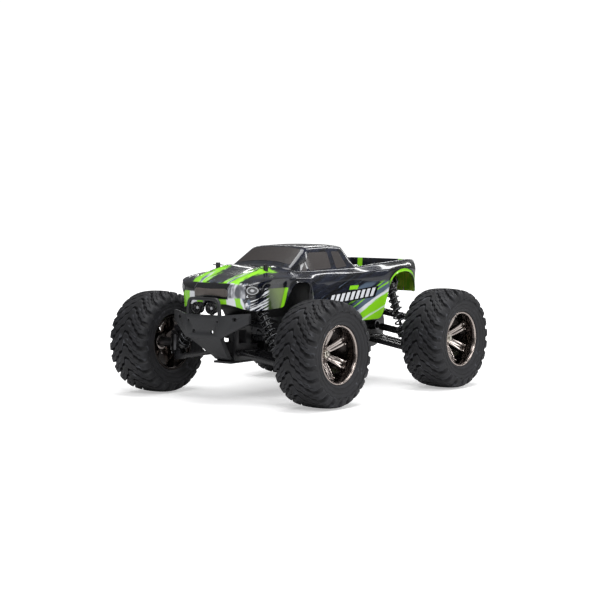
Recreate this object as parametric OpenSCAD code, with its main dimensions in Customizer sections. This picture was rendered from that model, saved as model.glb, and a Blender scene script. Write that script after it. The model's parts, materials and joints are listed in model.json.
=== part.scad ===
// Remote-control monster truck, about 1:12, with rear-wheel drive and double wishbones at each corner.
// Frame: +X is the truck's left, -Y is the front, +Z is up. The origin is on the ground, midway between the wheels.

/* [Stance] */
// Distance between the front and rear axles
wheelbase = 230; // [224:1:236]
// Distance between the centres of the left and right tyres
track = 231; // [229:1:236]

/* [Wheels] */
// Outer diameter of a tyre
tyre_d = 113; // [110:1:114]
// Width of a tyre
tyre_w = 54; // [50:1:56]
// Diameter of the rim at its outer lip
rim_d = 62; // [60:1:64]

/* [Body] */
// Length of the body shell from nose to tail
body_l = 315; // [310:1:318]
// Half of the width of the body shell at its fenders
body_half_w = 59; // [57:1:61]
// Height of the top of the body shell above the ground
roof_z = 163.6; // [161:0.1:165]
// Wall thickness of the body shell
shell_t = 1.3; // [1.2:0.1:1.8]

/* [Gears] */
// Teeth on the spur gear of the differential
spur_teeth = 58; // [58]
// Teeth on the motor's pinion
pinion_teeth = 16; // [16]

/* [Hidden] */
$fn = 48;

front = -1;               // the end of the truck that a corner is at
rear = 1;
left = 1;                 // the side of the truck that a corner is on
right = -1;

axle_y = wheelbase / 2;
axle_z = tyre_d / 2;
wheel_x = track / 2;

// Suspension: both arms and the half shaft are parallel and equally long, so the upright only translates.
arm_in_x = 16;            // inner hinge
arm_out_x = 80;           // outer hinge
arm_drop = 10;            // how far the outer hinge is below the inner one
lower_in_z = 52;
upper_in_z = 84;
arm_span = arm_out_x - arm_in_x;
arm_slope = atan2(arm_drop, arm_span);
arm_len = norm([arm_span, arm_drop]);
arm_t = 5;                // thickness of the arm plates
pin_r = 1.5;              // every hinge pin
run_r = pin_r + 0.05;     // a bore that turns on a pin
fixed_r = pin_r + 0.03;   // a bore that holds a pin
barrel_r = 3.4;           // moulding round a pin
lug_y = 9;                // half width of the chassis lug between the lower arm's barrels
arm_y = 17;               // half width of the lower arm at its inner hinge
upper_lug = [1.2, 8.8];   // chassis lug of the upper arm, along the axle's own y
upper_barrels = [[-4.5, 1], [9, 14.5]];
ear = [5.3, 9.2];         // the arm's outer ears, either side of the upright's lug
upright_y = 5;            // half width of the upright's lug

// Steering
kingpin_x = 89;
steer_r = 14;             // from the kingpin back to the tie rod's stud
rod_out_z = 57;
rod_in_z = rod_out_z + arm_drop;
link_y = -axle_y + steer_r;
horn_z = 55;              // axis of the servo's shaft
eye_gap = 0.85;           // room round the stud, for its arc
eye_back = 0.6;

// Shock absorbers: upper and lower mounts as [x, z], and how far ahead of the axle they lie
shock_low = [70, 50];
shock_top = [[37, 112], [46, 120]];
shock_y = [-13, -13];
shock_pin_room = 0.55;    // play round the lower pin, which takes up the arm's arc
spring_r = 6.2;
spring_wire = 0.9;
spring_turns = 7;

// Drive train
gear_module = 0.8;
spur_r = gear_module * spur_teeth / 2;
pinion_r = gear_module * pinion_teeth / 2;
diff_yz = [axle_y, axle_z + arm_drop];
motor_drop = 5.9;
motor_yz = [axle_y - sqrt(pow(spur_r + pinion_r, 2) - pow(motor_drop, 2)), diff_yz[1] - motor_drop];
motor_angle = atan2(motor_yz[1] - diff_yz[1], motor_yz[0] - diff_yz[0]);
motor_r = 12.2;
gear_x = [-3.5, 2.5];

// Chassis and body
floor_z = 41;
floor_t = 2.5;
tub_half_w = 36;
tub_y = [-86, 70];
front_post = [33.5, -107.4];
rear_post = [28, 126];
front_clip_z = 144;       // height of the clips through the body posts
rear_clip_z = 134.5;
bed_z = 131;

// ---------- helpers ----------

module along_x(yz, r, x0, x1) {
    translate([x0, yz[0], yz[1]]) rotate([0, 90, 0]) cylinder(r = r, h = x1 - x0);
}

module along_y(xz, r, y0, y1) {
    translate([xz[0], y1, xz[1]]) rotate([90, 0, 0]) cylinder(r = r, h = y1 - y0);
}

module along_z(xy, r, z0, z1) {
    translate([xy[0], xy[1], z0]) cylinder(r = r, h = z1 - z0);
}

module block(low, high) {
    translate(low) cube(high - low);
}

// An outline in Y and Z, extruded along X
module side_slab(points, x0, x1) {
    translate([x0, 0, 0]) rotate([90, 0, 90]) linear_extrude(x1 - x0) polygon(points);
}

// An outline in X and Z, extruded along Y
module front_slab(points, y0, y1) {
    translate([0, y1, 0]) rotate([90, 0, 0]) linear_extrude(y1 - y0) polygon(points);
}

// An outline in X and Y, extruded along Z
module plan_slab(points, z0, z1) {
    translate([0, 0, z0]) linear_extrude(z1 - z0) polygon(points);
}

// The half outline on +X, completed by its mirror image
function both_sides(half) = concat(half, [for (i = [len(half) - 1:-1:0]) if (half[i][0] != 0)
    [-half[i][0], half[i][1]]]);

module corner(end, side) {
    translate([0, end * axle_y, 0]) mirror([side == right ? 1 : 0, 0, 0]) children();
}

// ---------- chassis ----------

module chassis_tub() color("#1a1a1c") {
    wall = 2.5;
    wall_top = 62;
    difference() {
        union() {
            block([-tub_half_w, tub_y[0], floor_z], [tub_half_w, tub_y[1], wall_top]);
            block([-12, -axle_y - 25, floor_z], [12, tub_y[0], floor_z + floor_t]);
            block([-20, tub_y[1], floor_z], [20, axle_y - 14, floor_z + floor_t]);
        }
        block([-tub_half_w + wall, tub_y[0] + wall, floor_z + floor_t],
              [tub_half_w - wall, tub_y[1] - wall, wall_top + 1]);
        // the front wall is open for the servo, the rear wall for the motor
        block([-23, tub_y[0] - 1, floor_z + floor_t], [23, tub_y[0] + wall + 1, wall_top + 1]);
        block([-tub_half_w + wall, tub_y[1] - wall - 1, 47], [tub_half_w - wall, tub_y[1] + 1, wall_top + 1]);
        for (s = [-1, 1], y = [-60, -30, 0, 30, 55])
            block([s * tub_half_w - wall - 1, y - 9, 48], [s * tub_half_w + wall + 1, y + 9, 56]);
    }
}

module front_bulkhead() color("#1a1a1c") translate([0, -axle_y, 0]) {
    top = 90;
    foot = floor_z + floor_t;
    difference() {
        union() {
            block([-12.5, -19, foot], [12.5, 9, top]);
            block([-12.5, 9, foot], [12.5, 19, 60]);
            for (s = [-1, 1]) {
                block([s > 0 ? 12.5 : -arm_in_x, -lug_y, lower_in_z - barrel_r],
                      [s > 0 ? arm_in_x : -12.5, lug_y, lower_in_z + barrel_r]);
                along_y([s * arm_in_x, lower_in_z], barrel_r, -lug_y, lug_y);
                block([s > 0 ? 12.5 : -arm_in_x, upper_lug[0], upper_in_z - barrel_r],
                      [s > 0 ? arm_in_x : -12.5, upper_lug[1], upper_in_z + barrel_r]);
                along_y([s * arm_in_x, upper_in_z], barrel_r, upper_lug[0], upper_lug[1]);
            }
        }
        for (s = [-1, 1], z = [lower_in_z, upper_in_z]) along_y([s * arm_in_x, z], fixed_r, -20, 20);
        block([-13.5, -12, 62], [13.5, 0, 76]);
        block([-8, -20, 50], [8, -12, 84]);
    }
}

// Pin and its head for a shock's upper eye, from the tower's face at y0
module shock_pin(xz, mid_y, y0) {
    along_y(xz, pin_r, mid_y - 4.3, y0);
    along_y(xz, 3, mid_y - 5.9, mid_y - 4.3);
}

module front_shock_tower() color("#1a1a1c") translate([0, -axle_y, 0]) {
    top = shock_top[0];
    y0 = -5.4;
    y1 = -2.4;
    front_slab(both_sides([[0, 90], [12.5, 90], [16, 96], [41, 106], [43, 112], [40, 118], [26, 118], [20, 110],
                           [0, 106]]), y0, y1);
    for (s = [-1, 1]) {
        shock_pin([s * top[0], top[1]], shock_y[0], y0);
        block([s * front_post[0] - 3, y1, 112], [s * front_post[0] + 3, front_post[1] + axle_y + 3, 116]);
        difference() {
            along_z([s * front_post[0], front_post[1] + axle_y], 2.5, 112, front_clip_z + 2.5);
            along_x([front_post[1] + axle_y, front_clip_z], 0.9, s * front_post[0] - 5, s * front_post[0] + 5);
        }
    }
}

module rear_gearbox_case() color("#1a1a1c") {
    half_w = 12.3;
    side = 2.5;
    difference() {
        union() {
            along_x(diff_yz, spur_r + 3, -half_w, half_w);
            along_x(motor_yz, pinion_r + 3, -9, 5);
            block([-12, axle_y - 25, floor_z + floor_t], [12, axle_y - 10, 52]);
            block([-half_w, axle_y - 8, 86], [half_w, axle_y + 12, 93]);
            for (s = [-1, 1]) {
                block([s > 0 ? half_w - 1 : -arm_in_x, axle_y - lug_y, lower_in_z - barrel_r],
                      [s > 0 ? arm_in_x : 1 - half_w, axle_y + lug_y, lower_in_z + barrel_r]);
                along_y([s * arm_in_x, lower_in_z], barrel_r, axle_y - lug_y, axle_y + lug_y);
                block([s > 0 ? half_w - 1 : -arm_in_x, axle_y + upper_lug[0], upper_in_z - barrel_r],
                      [s > 0 ? arm_in_x : 1 - half_w, axle_y + upper_lug[1], upper_in_z + barrel_r]);
                along_y([s * arm_in_x, upper_in_z], barrel_r, axle_y + upper_lug[0], axle_y + upper_lug[1]);
            }
        }
        along_x(diff_yz, spur_r + 1.4, -half_w + side, half_w - side);
        along_x(diff_yz, 6, -20, 20);
        along_x(motor_yz, pinion_r + 1.4, -7, 3);
        along_x(motor_yz, 3.4, -12, -5);
        // seat of the motor's can
        along_x(motor_yz, motor_r + 0.05, -45, -9.15);
        for (s = [-1, 1], z = [lower_in_z, upper_in_z])
            along_y([s * arm_in_x, z], fixed_r, axle_y - 20, axle_y + 20);
    }
}

module rear_shock_tower() color("#1a1a1c") translate([0, axle_y, 0]) {
    top = shock_top[1];
    y0 = -5;
    y1 = -2;
    post_y = rear_post[1] - axle_y;
    front_slab(both_sides([[0, 93], [13, 93], [18, 100], [50, 113], [52, 119], [48, 125], [34, 125], [28, 117],
                           [0, 113]]), y0, y1);
    for (s = [-1, 1]) {
        shock_pin([s * top[0], top[1]], shock_y[1], y0);
        block([s * rear_post[0] - 3, y1, 112], [s * rear_post[0] + 3, post_y + 3, 116]);
        difference() {
            along_z([s * rear_post[0], post_y], 2.5, 112, rear_clip_z + 3);
            along_x([post_y, rear_clip_z], 0.9, s * rear_post[0] - 5, s * rear_post[0] + 5);
        }
    }
}

// Inner hinge pins of the four corners
module hinge_pins() color("#8a8c90") {
    for (end = [front, rear], side = [left, right]) {
        translate([0, end * axle_y, 0]) {
            along_y([side * arm_in_x, lower_in_z], pin_r, -arm_y - 1, arm_y + 1);
            along_y([side * arm_in_x, upper_in_z], pin_r, upper_barrels[0][0] - 1, upper_barrels[1][1] + 1);
        }
    }
}

// ---------- body ----------

// The shell is a loft. Half of each cross-section has six points: the lower edge, the fender's crease, the belt
// or bed rail, the edge of the hood, roof or bed, a point inside that, and the middle. Each curve below gives
// one coordinate of such a point against y.
low_z = [[-158, 107], [-150, 99.5], [-104, 101.5], [-97, 122], [-90, 126], [-66, 126], [-58, 122], [-54, 101],
         [-50, 78], [77, 78], [84, 103], [90, 125.5], [116, 130.5], [134, 127.5], [149, 104.5], [157, 107]];
fender_x = [[-158, 22], [-152, 42], [-143, 54], [-125, 58], [-100, 59], [-58, 57.5], [-30, 55], [60, 55], [84, 58],
            [134, 57], [149, 51], [157, 44]];
fender_z = [[-158, 121.5], [-152, 125], [-143, 129], [-125, 132], [-58, 129], [0, 131], [84, 133], [134, 133.5],
            [157, 131]];
belt_x = [[-158, 20], [-152, 32], [-143, 36], [-125, 38], [-100, 37], [-76, 43], [-58, 47.5], [37, 48.5],
          [134, 49.5], [149, 48], [157, 40]];
belt_z = [[-158, 122.4], [-152, 126.4], [-143, 130.5], [-125, 136], [-100, 139.5], [-58, 137.5], [37, 138],
          [134, 143], [157, 140.5]];
edge_x = [[-158, 14], [-143, 26], [-100, 30], [-76, 39], [-43, 36.6], [22, 36.2], [37, 43], [41, 45], [151, 45],
          [157, 30]];
edge_z = [[-158, 123], [-152, 128], [-143, 132], [-125, 137], [-100, 141], [-76, 141], [-43, roof_z - 1.6],
          [22, roof_z - 2.1], [37, 138.8], [134, 143.3], [157, 141]];
inner_x = [[-158, 7], [-100, 16], [-76, 21], [22, 21], [37, 43], [41, 44.6], [149, 44.6], [151, 40], [157, 15]];
inner_z = [[-158, 123.3], [-152, 128.8], [-143, 133], [-125, 138.5], [-100, 142.6], [-76, 143.4],
           [-43, roof_z - 0.6], [22, roof_z - 1.1], [37, 139.2], [41, 139.4], [42, bed_z], [148.5, bed_z], [149.5, 142.8], [157, 141.2]];
middle_rise = 0.6;        // how far the middle stands above the inner point, outside the bed

// Stations and how far the inner face is ahead of the outer one there, as a multiple of the wall thickness
stations = [[-158, 1], [-152, 0.6], [-143, 0.3], [-125, 0], [-104, 0], [-97, 0], [-90, 0], [-76, 0.5], [-66, 0.5],
            [-58, 0.5], [-54, 0.5], [-50, 0.5], [-43, 0.3], [0, 0], [22, -0.8], [37, -0.8], [41, -1], [42, -1],
            [77, 0], [84, 0], [90, 0], [116, 0], [134, 0], [148.5, 1], [149.5, 1], [157, -1]];
sill_x = 3.5;             // how far the sill is inside the fender's crease

function half_section(y) = let (low = lookup(y, low_z), fx = lookup(y, fender_x), fz = lookup(y, fender_z),
                                z = lookup(y, inner_z), rise = z > bed_z ? middle_rise : 0)
    [[fx - sill_x * (fz - low) / (fz - 78), low], [fx, fz], [lookup(y, belt_x), lookup(y, belt_z)],
     [lookup(y, edge_x), lookup(y, edge_z)], [lookup(y, inner_x), z], [0, z + rise]];

function left_of(a, b) = let (d = (b - a) / norm(b - a)) [-d[1], d[0]];

// A half section moved inwards by t. Its lower edge stays level and its middle stays on the centre plane.
function drawn_in(p, t) = [for (i = [0:5])
    i == 0 ? p[0] - [t, 0] :
    i == 5 ? p[5] - [0, t] :
    let (a = left_of(p[i - 1], p[i]), b = left_of(p[i], p[i + 1])) p[i] + t * (a + b) / (1 + a * b)];

function ring(p, y) = concat([for (q = p) [q[0] * body_half_w / 59, y, q[1]]],
                             [for (i = [4:-1:0]) [-p[i][0] * body_half_w / 59, y, p[i][1]]]);

module shell_loft() {
    n = len(stations);
    m = 11;
    k = body_l / 315;
    outer = [for (s = stations) each ring(half_section(s[0]), s[0] * k)];
    inner = [for (s = stations) each ring(drawn_in(half_section(s[0]), shell_t), (s[0] + s[1] * shell_t) * k)];
    skin = [for (i = [0:n - 2], j = [0:m - 2]) let (a = i * m + j, b = a + m) each [[a, a + 1, b + 1], [a, b + 1, b]]];
    lining = [for (f = skin) [f[0] + n * m, f[2] + n * m, f[1] + n * m]];
    rims = [for (i = [0:n - 2], side = [0, 1]) let (a = i * m + side * (m - 1), b = a + m, c = n * m)
        each side == 0 ? [[a, b, b + c], [a, b + c, a + c]] : [[a, b + c, b], [a, a + c, b + c]]];
    nose = [for (j = [m - 1:-1:0]) j];
    tail = [for (j = [0:m - 1]) (n - 1) * m + j];
    inner_nose = [for (j = [0:m - 1]) n * m + j];
    inner_tail = [for (j = [m - 1:-1:0]) (2 * n - 1) * m + j];
    nose_rim = [0, n * m, n * m + m - 1, m - 1];
    tail_rim = [tail[0], tail[m - 1], inner_tail[0], inner_tail[m - 1]];
    polyhedron(concat(outer, inner),
               concat(skin, lining, rims, [nose, tail, inner_nose, inner_tail, nose_rim, tail_rim]));
}

module body_shell() color("#14161c") difference() {
    post_room = 3.2;
    shell_loft();
    for (s = [-1, 1]) {
        along_z([s * front_post[0], front_post[1]], post_room, 100, 160);
        along_z([s * rear_post[0], rear_post[1]], post_room, 100, 160);
    }
}

module body_clip(x, y, z) {
    loop_r = 3.4;
    wire = 0.6;
    translate([x, y, z]) {
        along_x([0, 0], wire, -7, 5);
        translate([5 + loop_r * 0.8, loop_r * 0.6, 0]) rotate_extrude() translate([loop_r, 0]) circle(wire, $fn = 16);
    }
}

module body_clips() color("#9a9da2") {
    for (s = [-1, 1]) {
        body_clip(s * front_post[0], front_post[1], front_clip_z);
        body_clip(s * rear_post[0], rear_post[1], rear_clip_z);
    }
}

// ---------- bumper ----------

bumper_y = -171.3;        // its foremost face
bumper_t = 3;
bumper_hole = [12.4, 77.3];
hoop = [21.5, 111.6];     // half width and height of the hoop's centre line
hoop_r = 1.7;
lamp = [9.6, 102];        // the lamps' centres
lamp_r = 6.2;

module front_bumper() color("#26262a") {
    back = bumper_y + bumper_t;
    difference() {
        union() {
            // the folded plate with its swept wings
            intersection() {
                plan_slab([[-52, -158], [-25, bumper_y], [25, bumper_y], [52, -158], [52, -158 + bumper_t + 0.6],
                           [24.5, back], [-24.5, back], [-52, -158 + bumper_t + 0.6]], 60, 110);
                front_slab(both_sides([[0, 70.5], [23, 70.5], [52, 87], [52, 97.5], [25, 95], [0, 95]]), -180, -150);
            }
            // the skid plate below it
            intersection() {
                side_slab([[bumper_y, 72], [-140, 45.5], [-134.2, 44.2], [-134.2, 47.4], [-137.5, 48.4], [back, 75]], -30, 30);
                front_slab(both_sides([[0, 40], [10, 40], [10, 48], [23, 72], [0, 76]]), -190, -120);
            }
            // struts back to the bulkhead
            for (s = [-1, 1]) block([s * 9 - 2, back - 0.5, 84], [s * 9 + 2, -134.2, 89]);
            // hoop over the lamps
            for (s = [-1, 1]) {
                along_z([s * hoop[0], bumper_y + hoop_r], hoop_r, 94, hoop[1]);
                translate([s * hoop[0], bumper_y + hoop_r, hoop[1]]) sphere(hoop_r);
            }
            along_x([bumper_y + hoop_r, hoop[1]], hoop_r, -hoop[0], hoop[0]);
        }
        for (s = [-1, 1]) {
            along_y([s * bumper_hole[0], bumper_hole[1]], 2, -180, -150);
            along_y([s * 38, 91], 2.2, -180, -150);
            along_y([s * 20, 88.5], 1.1, -180, -150);
        }
    }
}

module bumper_lamps() color("#1c1c20") {
    for (s = [-1, 1]) {
        difference() {
            along_y([s * lamp[0], lamp[1]], lamp_r, bumper_y, bumper_y + 8);
            along_y([s * lamp[0], lamp[1]], lamp_r - 1, bumper_y - 1, bumper_y + 3);
        }
        block([s * lamp[0] - 1.5, bumper_y + 3, 95], [s * lamp[0] + 1.5, bumper_y + 6, lamp[1] - 5]);
    }
}

// ---------- drive ----------

// Involute tooth outline: a point on the flank at radius r, as an angle from the tooth's middle
function involute_turn(rb, r) = let (a = acos(rb / r)) tan(a) * 180 / PI - a;
function flank_angle(z, m, r, play) =
    let (rp = z * m / 2, rb = rp * cos(20))
    90 / z - play / (2 * rp) * 180 / PI + involute_turn(rb, rp) - involute_turn(rb, max(rb, r));
function gear_outline(z, m, play) =
    let (rp = z * m / 2, rb = rp * cos(20), root = rp - 1.25 * m, tip = rp + 0.9 * m, first = max(rb, root))
    [for (i = [0:z - 1]) let (mid = 360 * i / z, radii = [root, first, (first + tip) / 2, tip])
        each concat([for (r = radii) let (a = mid - flank_angle(z, m, r, play)) r * [cos(a), sin(a)]],
                    [for (k = [3:-1:0]) let (r = radii[k], a = mid + flank_angle(z, m, r, play))
                        r * [cos(a), sin(a)]])];

module gear(yz, teeth, x0, x1, bore, turn) {
    translate([x0, yz[0], yz[1]]) rotate([90, 0, 90]) rotate([0, 0, turn]) difference() {
        linear_extrude(x1 - x0) polygon(gear_outline(teeth, gear_module, 0.12));
        translate([0, 0, -1]) cylinder(r = bore, h = x1 - x0 + 2);
    }
}

module spur_gear() color("#2c2c30") gear(diff_yz, spur_teeth, gear_x[0], gear_x[1], 11, motor_angle);

module motor_pinion() color("#b08a3c") {
    gear(motor_yz, pinion_teeth, gear_x[0] + 0.5, gear_x[1] - 0.5, 1.2, motor_angle + 180 + 180 / pinion_teeth);
    along_x(motor_yz, 1.15, -32, gear_x[1]);
}

module differential() color("#77797e") {
    cup_x = [10.8, 21];
    along_x(diff_yz, 10.95, -9.5, 9.5);
    for (s = [-1, 1]) {
        along_x(diff_yz, 5, s > 0 ? 9.5 : -cup_x[0], s > 0 ? cup_x[0] : -9.5);
        difference() {
            along_x(diff_yz, 5.5, s > 0 ? cup_x[0] : -cup_x[1], s > 0 ? cup_x[1] : -cup_x[0]);
            along_x(diff_yz, 4.3, s > 0 ? cup_x[0] + 1 : -cup_x[1] - 1, s > 0 ? cup_x[1] + 1 : -cup_x[0] - 1);
        }
    }
}

module drive_motor() color("#9c9fa4") difference() {
    union() {
        along_x(motor_yz, motor_r, -38, -9.2);
        along_x(motor_yz, 3.2, -9.2, -7.2);
        along_x(motor_yz, 4, -40, -38);
    }
    along_x(motor_yz, 1.2, -33, 0);
}

module battery_pack() color("#2a5d8f") block([2, -48, 43.8], [31, 30, 62]);

module receiver_box() color("#202124") difference() {
    block([-32, -48, 43.8], [-4, -4, 58]);
    block([-20.2, -30.5, 56], [-16.8, -21.5, 59]);
}

module power_switch() color("#c8c8c8") block([-20, -30, 56.2], [-17, -26, 60.5]);

// ---------- steering ----------

module steering_servo() color("#17171a") {
    block([-7, -89, 46], [17, -63, 62.5]);
    block([-12, -84, 50], [-7, -81.5, 60]);
    block([17, -84, 50], [22, -81.5, 60]);
    along_y([0, horn_z], 2, -93.6, -89);
}

module steering_horn() color("#2e2e33") {
    plate_y = [-95.6, -93.4];
    difference() {
        union() {
            along_y([0, horn_z], 4.8, plate_y[0], -90.5);
            block([-2.6, plate_y[0], horn_z], [2.6, plate_y[1], rod_in_z]);
            along_y([0, rod_in_z], 2.6, plate_y[0], plate_y[1]);
        }
        along_y([0, horn_z], 2.05, -94.6, -90);
    }
    along_y([0, rod_in_z], pin_r, -104.5, plate_y[0]);
}

module steering_link() color("#2e2e33") translate([0, link_y, rod_in_z]) {
    fork_x = 25;
    difference() {
        union() {
            block([-20.8, -4.2, -2.8], [20.8, 4.2, 2.8]);
            block([-6, -4.2, -5.8], [6, 4.2, 5]);
            for (s = [-1, 1], y = [-4.2, 2.2])
                block([s > 0 ? 20.8 : -fork_x, y, -2.8], [s > 0 ? fork_x : -20.8, y + 2, 2.8]);
            for (s = [-1, 1], y = [-4.2, 2.2]) along_y([s * fork_x, 0], 2.8, y, y + 2);
        }
        block([-pin_r - 0.3, -5, -3.8], [pin_r + 0.3, 5, 2.2]);
    }
    for (s = [-1, 1]) along_y([s * fork_x, 0], pin_r, -2.2, 2.2);
}

module tie_rod(side) color("#8d8f94") corner(front, side) translate([0, steer_r, 0]) {
    inner = [25, rod_in_z];
    outer_x = kingpin_x;
    difference() {
        union() {
            along_y(inner, 3.5, -2, 2);
            translate([inner[0], 0, inner[1]]) rotate([0, 90 + arm_slope, 0]) cylinder(r = 1.9, h = arm_len);
            along_z([outer_x, -eye_back], 4.8, rod_out_z - 1.8, rod_out_z + 1.8);
        }
        along_y(inner, run_r, -3, 3);
        along_z([outer_x, -eye_back], pin_r + eye_gap, rod_out_z - 4, rod_out_z + 4);
    }
}

// ---------- suspension ----------

module in_arm_frame(z) {
    translate([arm_in_x, 0, z]) rotate([0, arm_slope, 0]) children();
}

// Pin across the outer ears, loose in them by a hair so that it stays a piece of its own
module outer_pin() {
    along_y([arm_len, 0], pin_r, -ear[1], ear[1]);
}

module outer_ears(from_x) {
    for (s = [-1, 1]) {
        y0 = s > 0 ? ear[0] : -ear[1];
        block([from_x, y0, -barrel_r], [arm_len, y0 + ear[1] - ear[0], barrel_r]);
        along_y([arm_len, 0], barrel_r, y0, y0 + ear[1] - ear[0]);
    }
}

module lower_arm(end, side) color("#1d1d20") corner(end, side) in_arm_frame(lower_in_z) {
    sy = shock_y[end == front ? 0 : 1];
    rel = shock_low - [arm_in_x, lower_in_z];
    mount = [rel[0] * cos(arm_slope) - rel[1] * sin(arm_slope), rel[0] * sin(arm_slope) + rel[1] * cos(arm_slope)];
    lug = [2.5, 4.8];     // the shock lug's cheeks, from the shock's middle plane
    difference() {
        union() {
            translate([0, 0, -arm_t / 2]) linear_extrude(arm_t) difference() {
                polygon([[0, -arm_y], [44, sy - lug[1]], [58, sy - lug[1]], [61, -ear[1]], [61, ear[1]],
                         [54, 12], [0, arm_y], [0, lug_y + 0.3], [5, lug_y + 0.3], [5, -lug_y - 0.3],
                         [0, -lug_y - 0.3]]);
                polygon([[12, -9], [44, -9], [44, -3], [12, -3]]);
                polygon([[12, 3], [44, 3], [44, 9], [12, 9]]);
            }
            for (s = [-1, 1]) along_y([0, 0], barrel_r, s > 0 ? lug_y + 0.3 : -arm_y, s > 0 ? arm_y : -lug_y - 0.3);
            outer_ears(57);
            for (s = [-1, 1]) {
                y0 = s > 0 ? sy + lug[0] : sy - lug[1];
                block([mount[0] - 3, y0, 0], [mount[0] + 3, y0 + lug[1] - lug[0], mount[1]]);
                along_y(mount, 3, y0, y0 + lug[1] - lug[0]);
            }
        }
        along_y([0, 0], run_r, -30, 30);
        along_y([arm_len, 0], fixed_r, -30, 30);
        block([57.5, -ear[0], -5], [arm_len + 5, ear[0], 5]);
        // room for the shock's lower eye
        block([mount[0] - 4.6, sy - lug[0], mount[1] - 5.4], [mount[0] + 4.6, sy + lug[0], mount[1] + 6]);
    }
    along_y(mount, pin_r, sy - lug[0] - 0.1, sy + lug[0] + 0.1);
    outer_pin();
}

module upper_arm(end, side) color("#1d1d20") corner(end, side) in_arm_frame(upper_in_z) {
    difference() {
        union() {
            translate([0, 0, -arm_t / 2]) linear_extrude(arm_t) difference() {
                polygon([[0, -4.5], [18, -3], [50, -3], [57, -ear[1]], [61, -ear[1]], [61, ear[1]], [52, 11], [0, 14.5],
                         [0, 9], [5, 9], [5, 1], [0, 1]]);
                polygon([[12, 0], [44, 0], [44, 7.5], [12, 9]]);
            }
            for (b = upper_barrels) along_y([0, 0], barrel_r, b[0], b[1]);
            outer_ears(57);
        }
        along_y([0, 0], run_r, -30, 30);
        along_y([arm_len, 0], fixed_r, -30, 30);
        block([57.5, -ear[0], -5], [arm_len + 5, ear[0], 5]);
    }
    outer_pin();
}

lower_out_z = lower_in_z - arm_drop;
upper_out_z = upper_in_z - arm_drop;

module upright_lugs() {
    along_y([arm_out_x, lower_out_z], barrel_r, -upright_y, upright_y);
    along_y([arm_out_x, upper_out_z], barrel_r, -upright_y, upright_y);
}

module upright_bores() {
    along_y([arm_out_x, lower_out_z], run_r, -20, 20);
    along_y([arm_out_x, upper_out_z], run_r, -20, 20);
}

carrier_gap = [48, 66];   // between the hub carrier's plates, where the knuckle turns

module hub_carrier(side) color("#1d1d20") corner(front, side) {
    plate_t = 4;
    difference() {
        union() {
            upright_lugs();
            block([arm_out_x - 2, -upright_y, lower_out_z], [arm_out_x + 2.4, upright_y, upper_out_z]);
            for (z = [carrier_gap[0] - plate_t, carrier_gap[1]]) {
                block([arm_out_x, -upright_y, z], [kingpin_x, upright_y, z + plate_t]);
                along_z([kingpin_x, 0], upright_y, z, z + plate_t);
            }
        }
        upright_bores();
        along_z([kingpin_x, 0], run_r, 30, 90);
    }
}

hub_face_x = 117.5;       // where the nut bears on the rim
shaft_r = 3;
thread_r = 2;

// Threaded end of an axle and the nut on it
module axle_end() {
    along_x([0, axle_z], thread_r, hub_face_x - 0.3, hub_face_x + 6);
    translate([hub_face_x + 0.3, 0, axle_z]) rotate([0, 90, 0]) difference() {
        cylinder(r = 4.6, h = 4, $fn = 6);
        translate([0, 0, -1]) cylinder(r = thread_r + 0.03, h = 6, $fn = 32);
    }
}

module knuckle(side) color("#3a3a3e") corner(front, side) {
    arm_z = carrier_gap[0] + 0.4;
    along_z([kingpin_x, 0], 6, carrier_gap[0] + 0.4, carrier_gap[1] - 0.4);
    along_z([kingpin_x, 0], pin_r, carrier_gap[0] - 4.6, carrier_gap[1] + 4.6);
    along_x([0, axle_z], shaft_r, kingpin_x, hub_face_x - 0.3);
    along_x([0, axle_z], 5.5, kingpin_x, 109.2);
    block([kingpin_x - 3, 0, arm_z], [kingpin_x + 3, steer_r, arm_z + 3]);
    along_z([kingpin_x, steer_r], 3, arm_z, arm_z + 3);
    along_z([kingpin_x, steer_r], pin_r, arm_z, 61);
    along_z([kingpin_x, steer_r], 2.6, 60.8, 62.4);
    axle_end();
}

cup_x = [75, 86];

module upright(side) color("#1d1d20") corner(rear, side) {
    plate_x = [86.5, 90.5];
    difference() {
        union() {
            upright_lugs();
            for (z = [lower_out_z, upper_out_z])
                block([arm_out_x, -upright_y, z - barrel_r], [plate_x[1], upright_y, z + barrel_r]);
            block([plate_x[0], -7.5, lower_out_z - barrel_r], [plate_x[1], 7.5, upper_out_z + barrel_r]);
            along_x([0, axle_z], 9, plate_x[0], 101);
        }
        upright_bores();
        along_x([0, axle_z], shaft_r + 0.05, 80, 110);
    }
}

module rear_axle(side) color("#77797e") corner(rear, side) {
    difference() {
        along_x([0, axle_z], 5.5, cup_x[0], cup_x[1]);
        along_x([0, axle_z], 4.3, cup_x[0] - 1, cup_x[1] - 1.5);
    }
    along_x([0, axle_z], shaft_r, cup_x[1], hub_face_x - 0.3);
    along_x([0, axle_z], 5.5, 101.3, 109.2);
    axle_end();
}

module half_shaft(side) color("#55575c") corner(rear, side) {
    ball_r = 3.4;
    translate([arm_in_x, 0, diff_yz[1]]) rotate([0, 90 + arm_slope, 0]) {
        sphere(ball_r);
        cylinder(r = 2, h = arm_len);
        translate([0, 0, arm_len]) sphere(ball_r);
        translate([0, 0, 10]) cylinder(r = 4, h = arm_len - 20);
        // drive pins through the balls
        for (z = [0, arm_len]) along_y([0, z], 1.2, -4, 4);
    }
}

// ---------- shock absorbers ----------

module in_shock_frame(end) {
    i = end == front ? 0 : 1;
    v = shock_low - shock_top[i];
    translate([shock_top[i][0], shock_y[i], shock_top[i][1]]) rotate([0, 180 - atan2(v[0], -v[1]), 0]) children();
}

function shock_len(end) = norm(shock_low - shock_top[end == front ? 0 : 1]);
body_end = 36;            // from the top eye to the foot of the damper's cylinder

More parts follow.
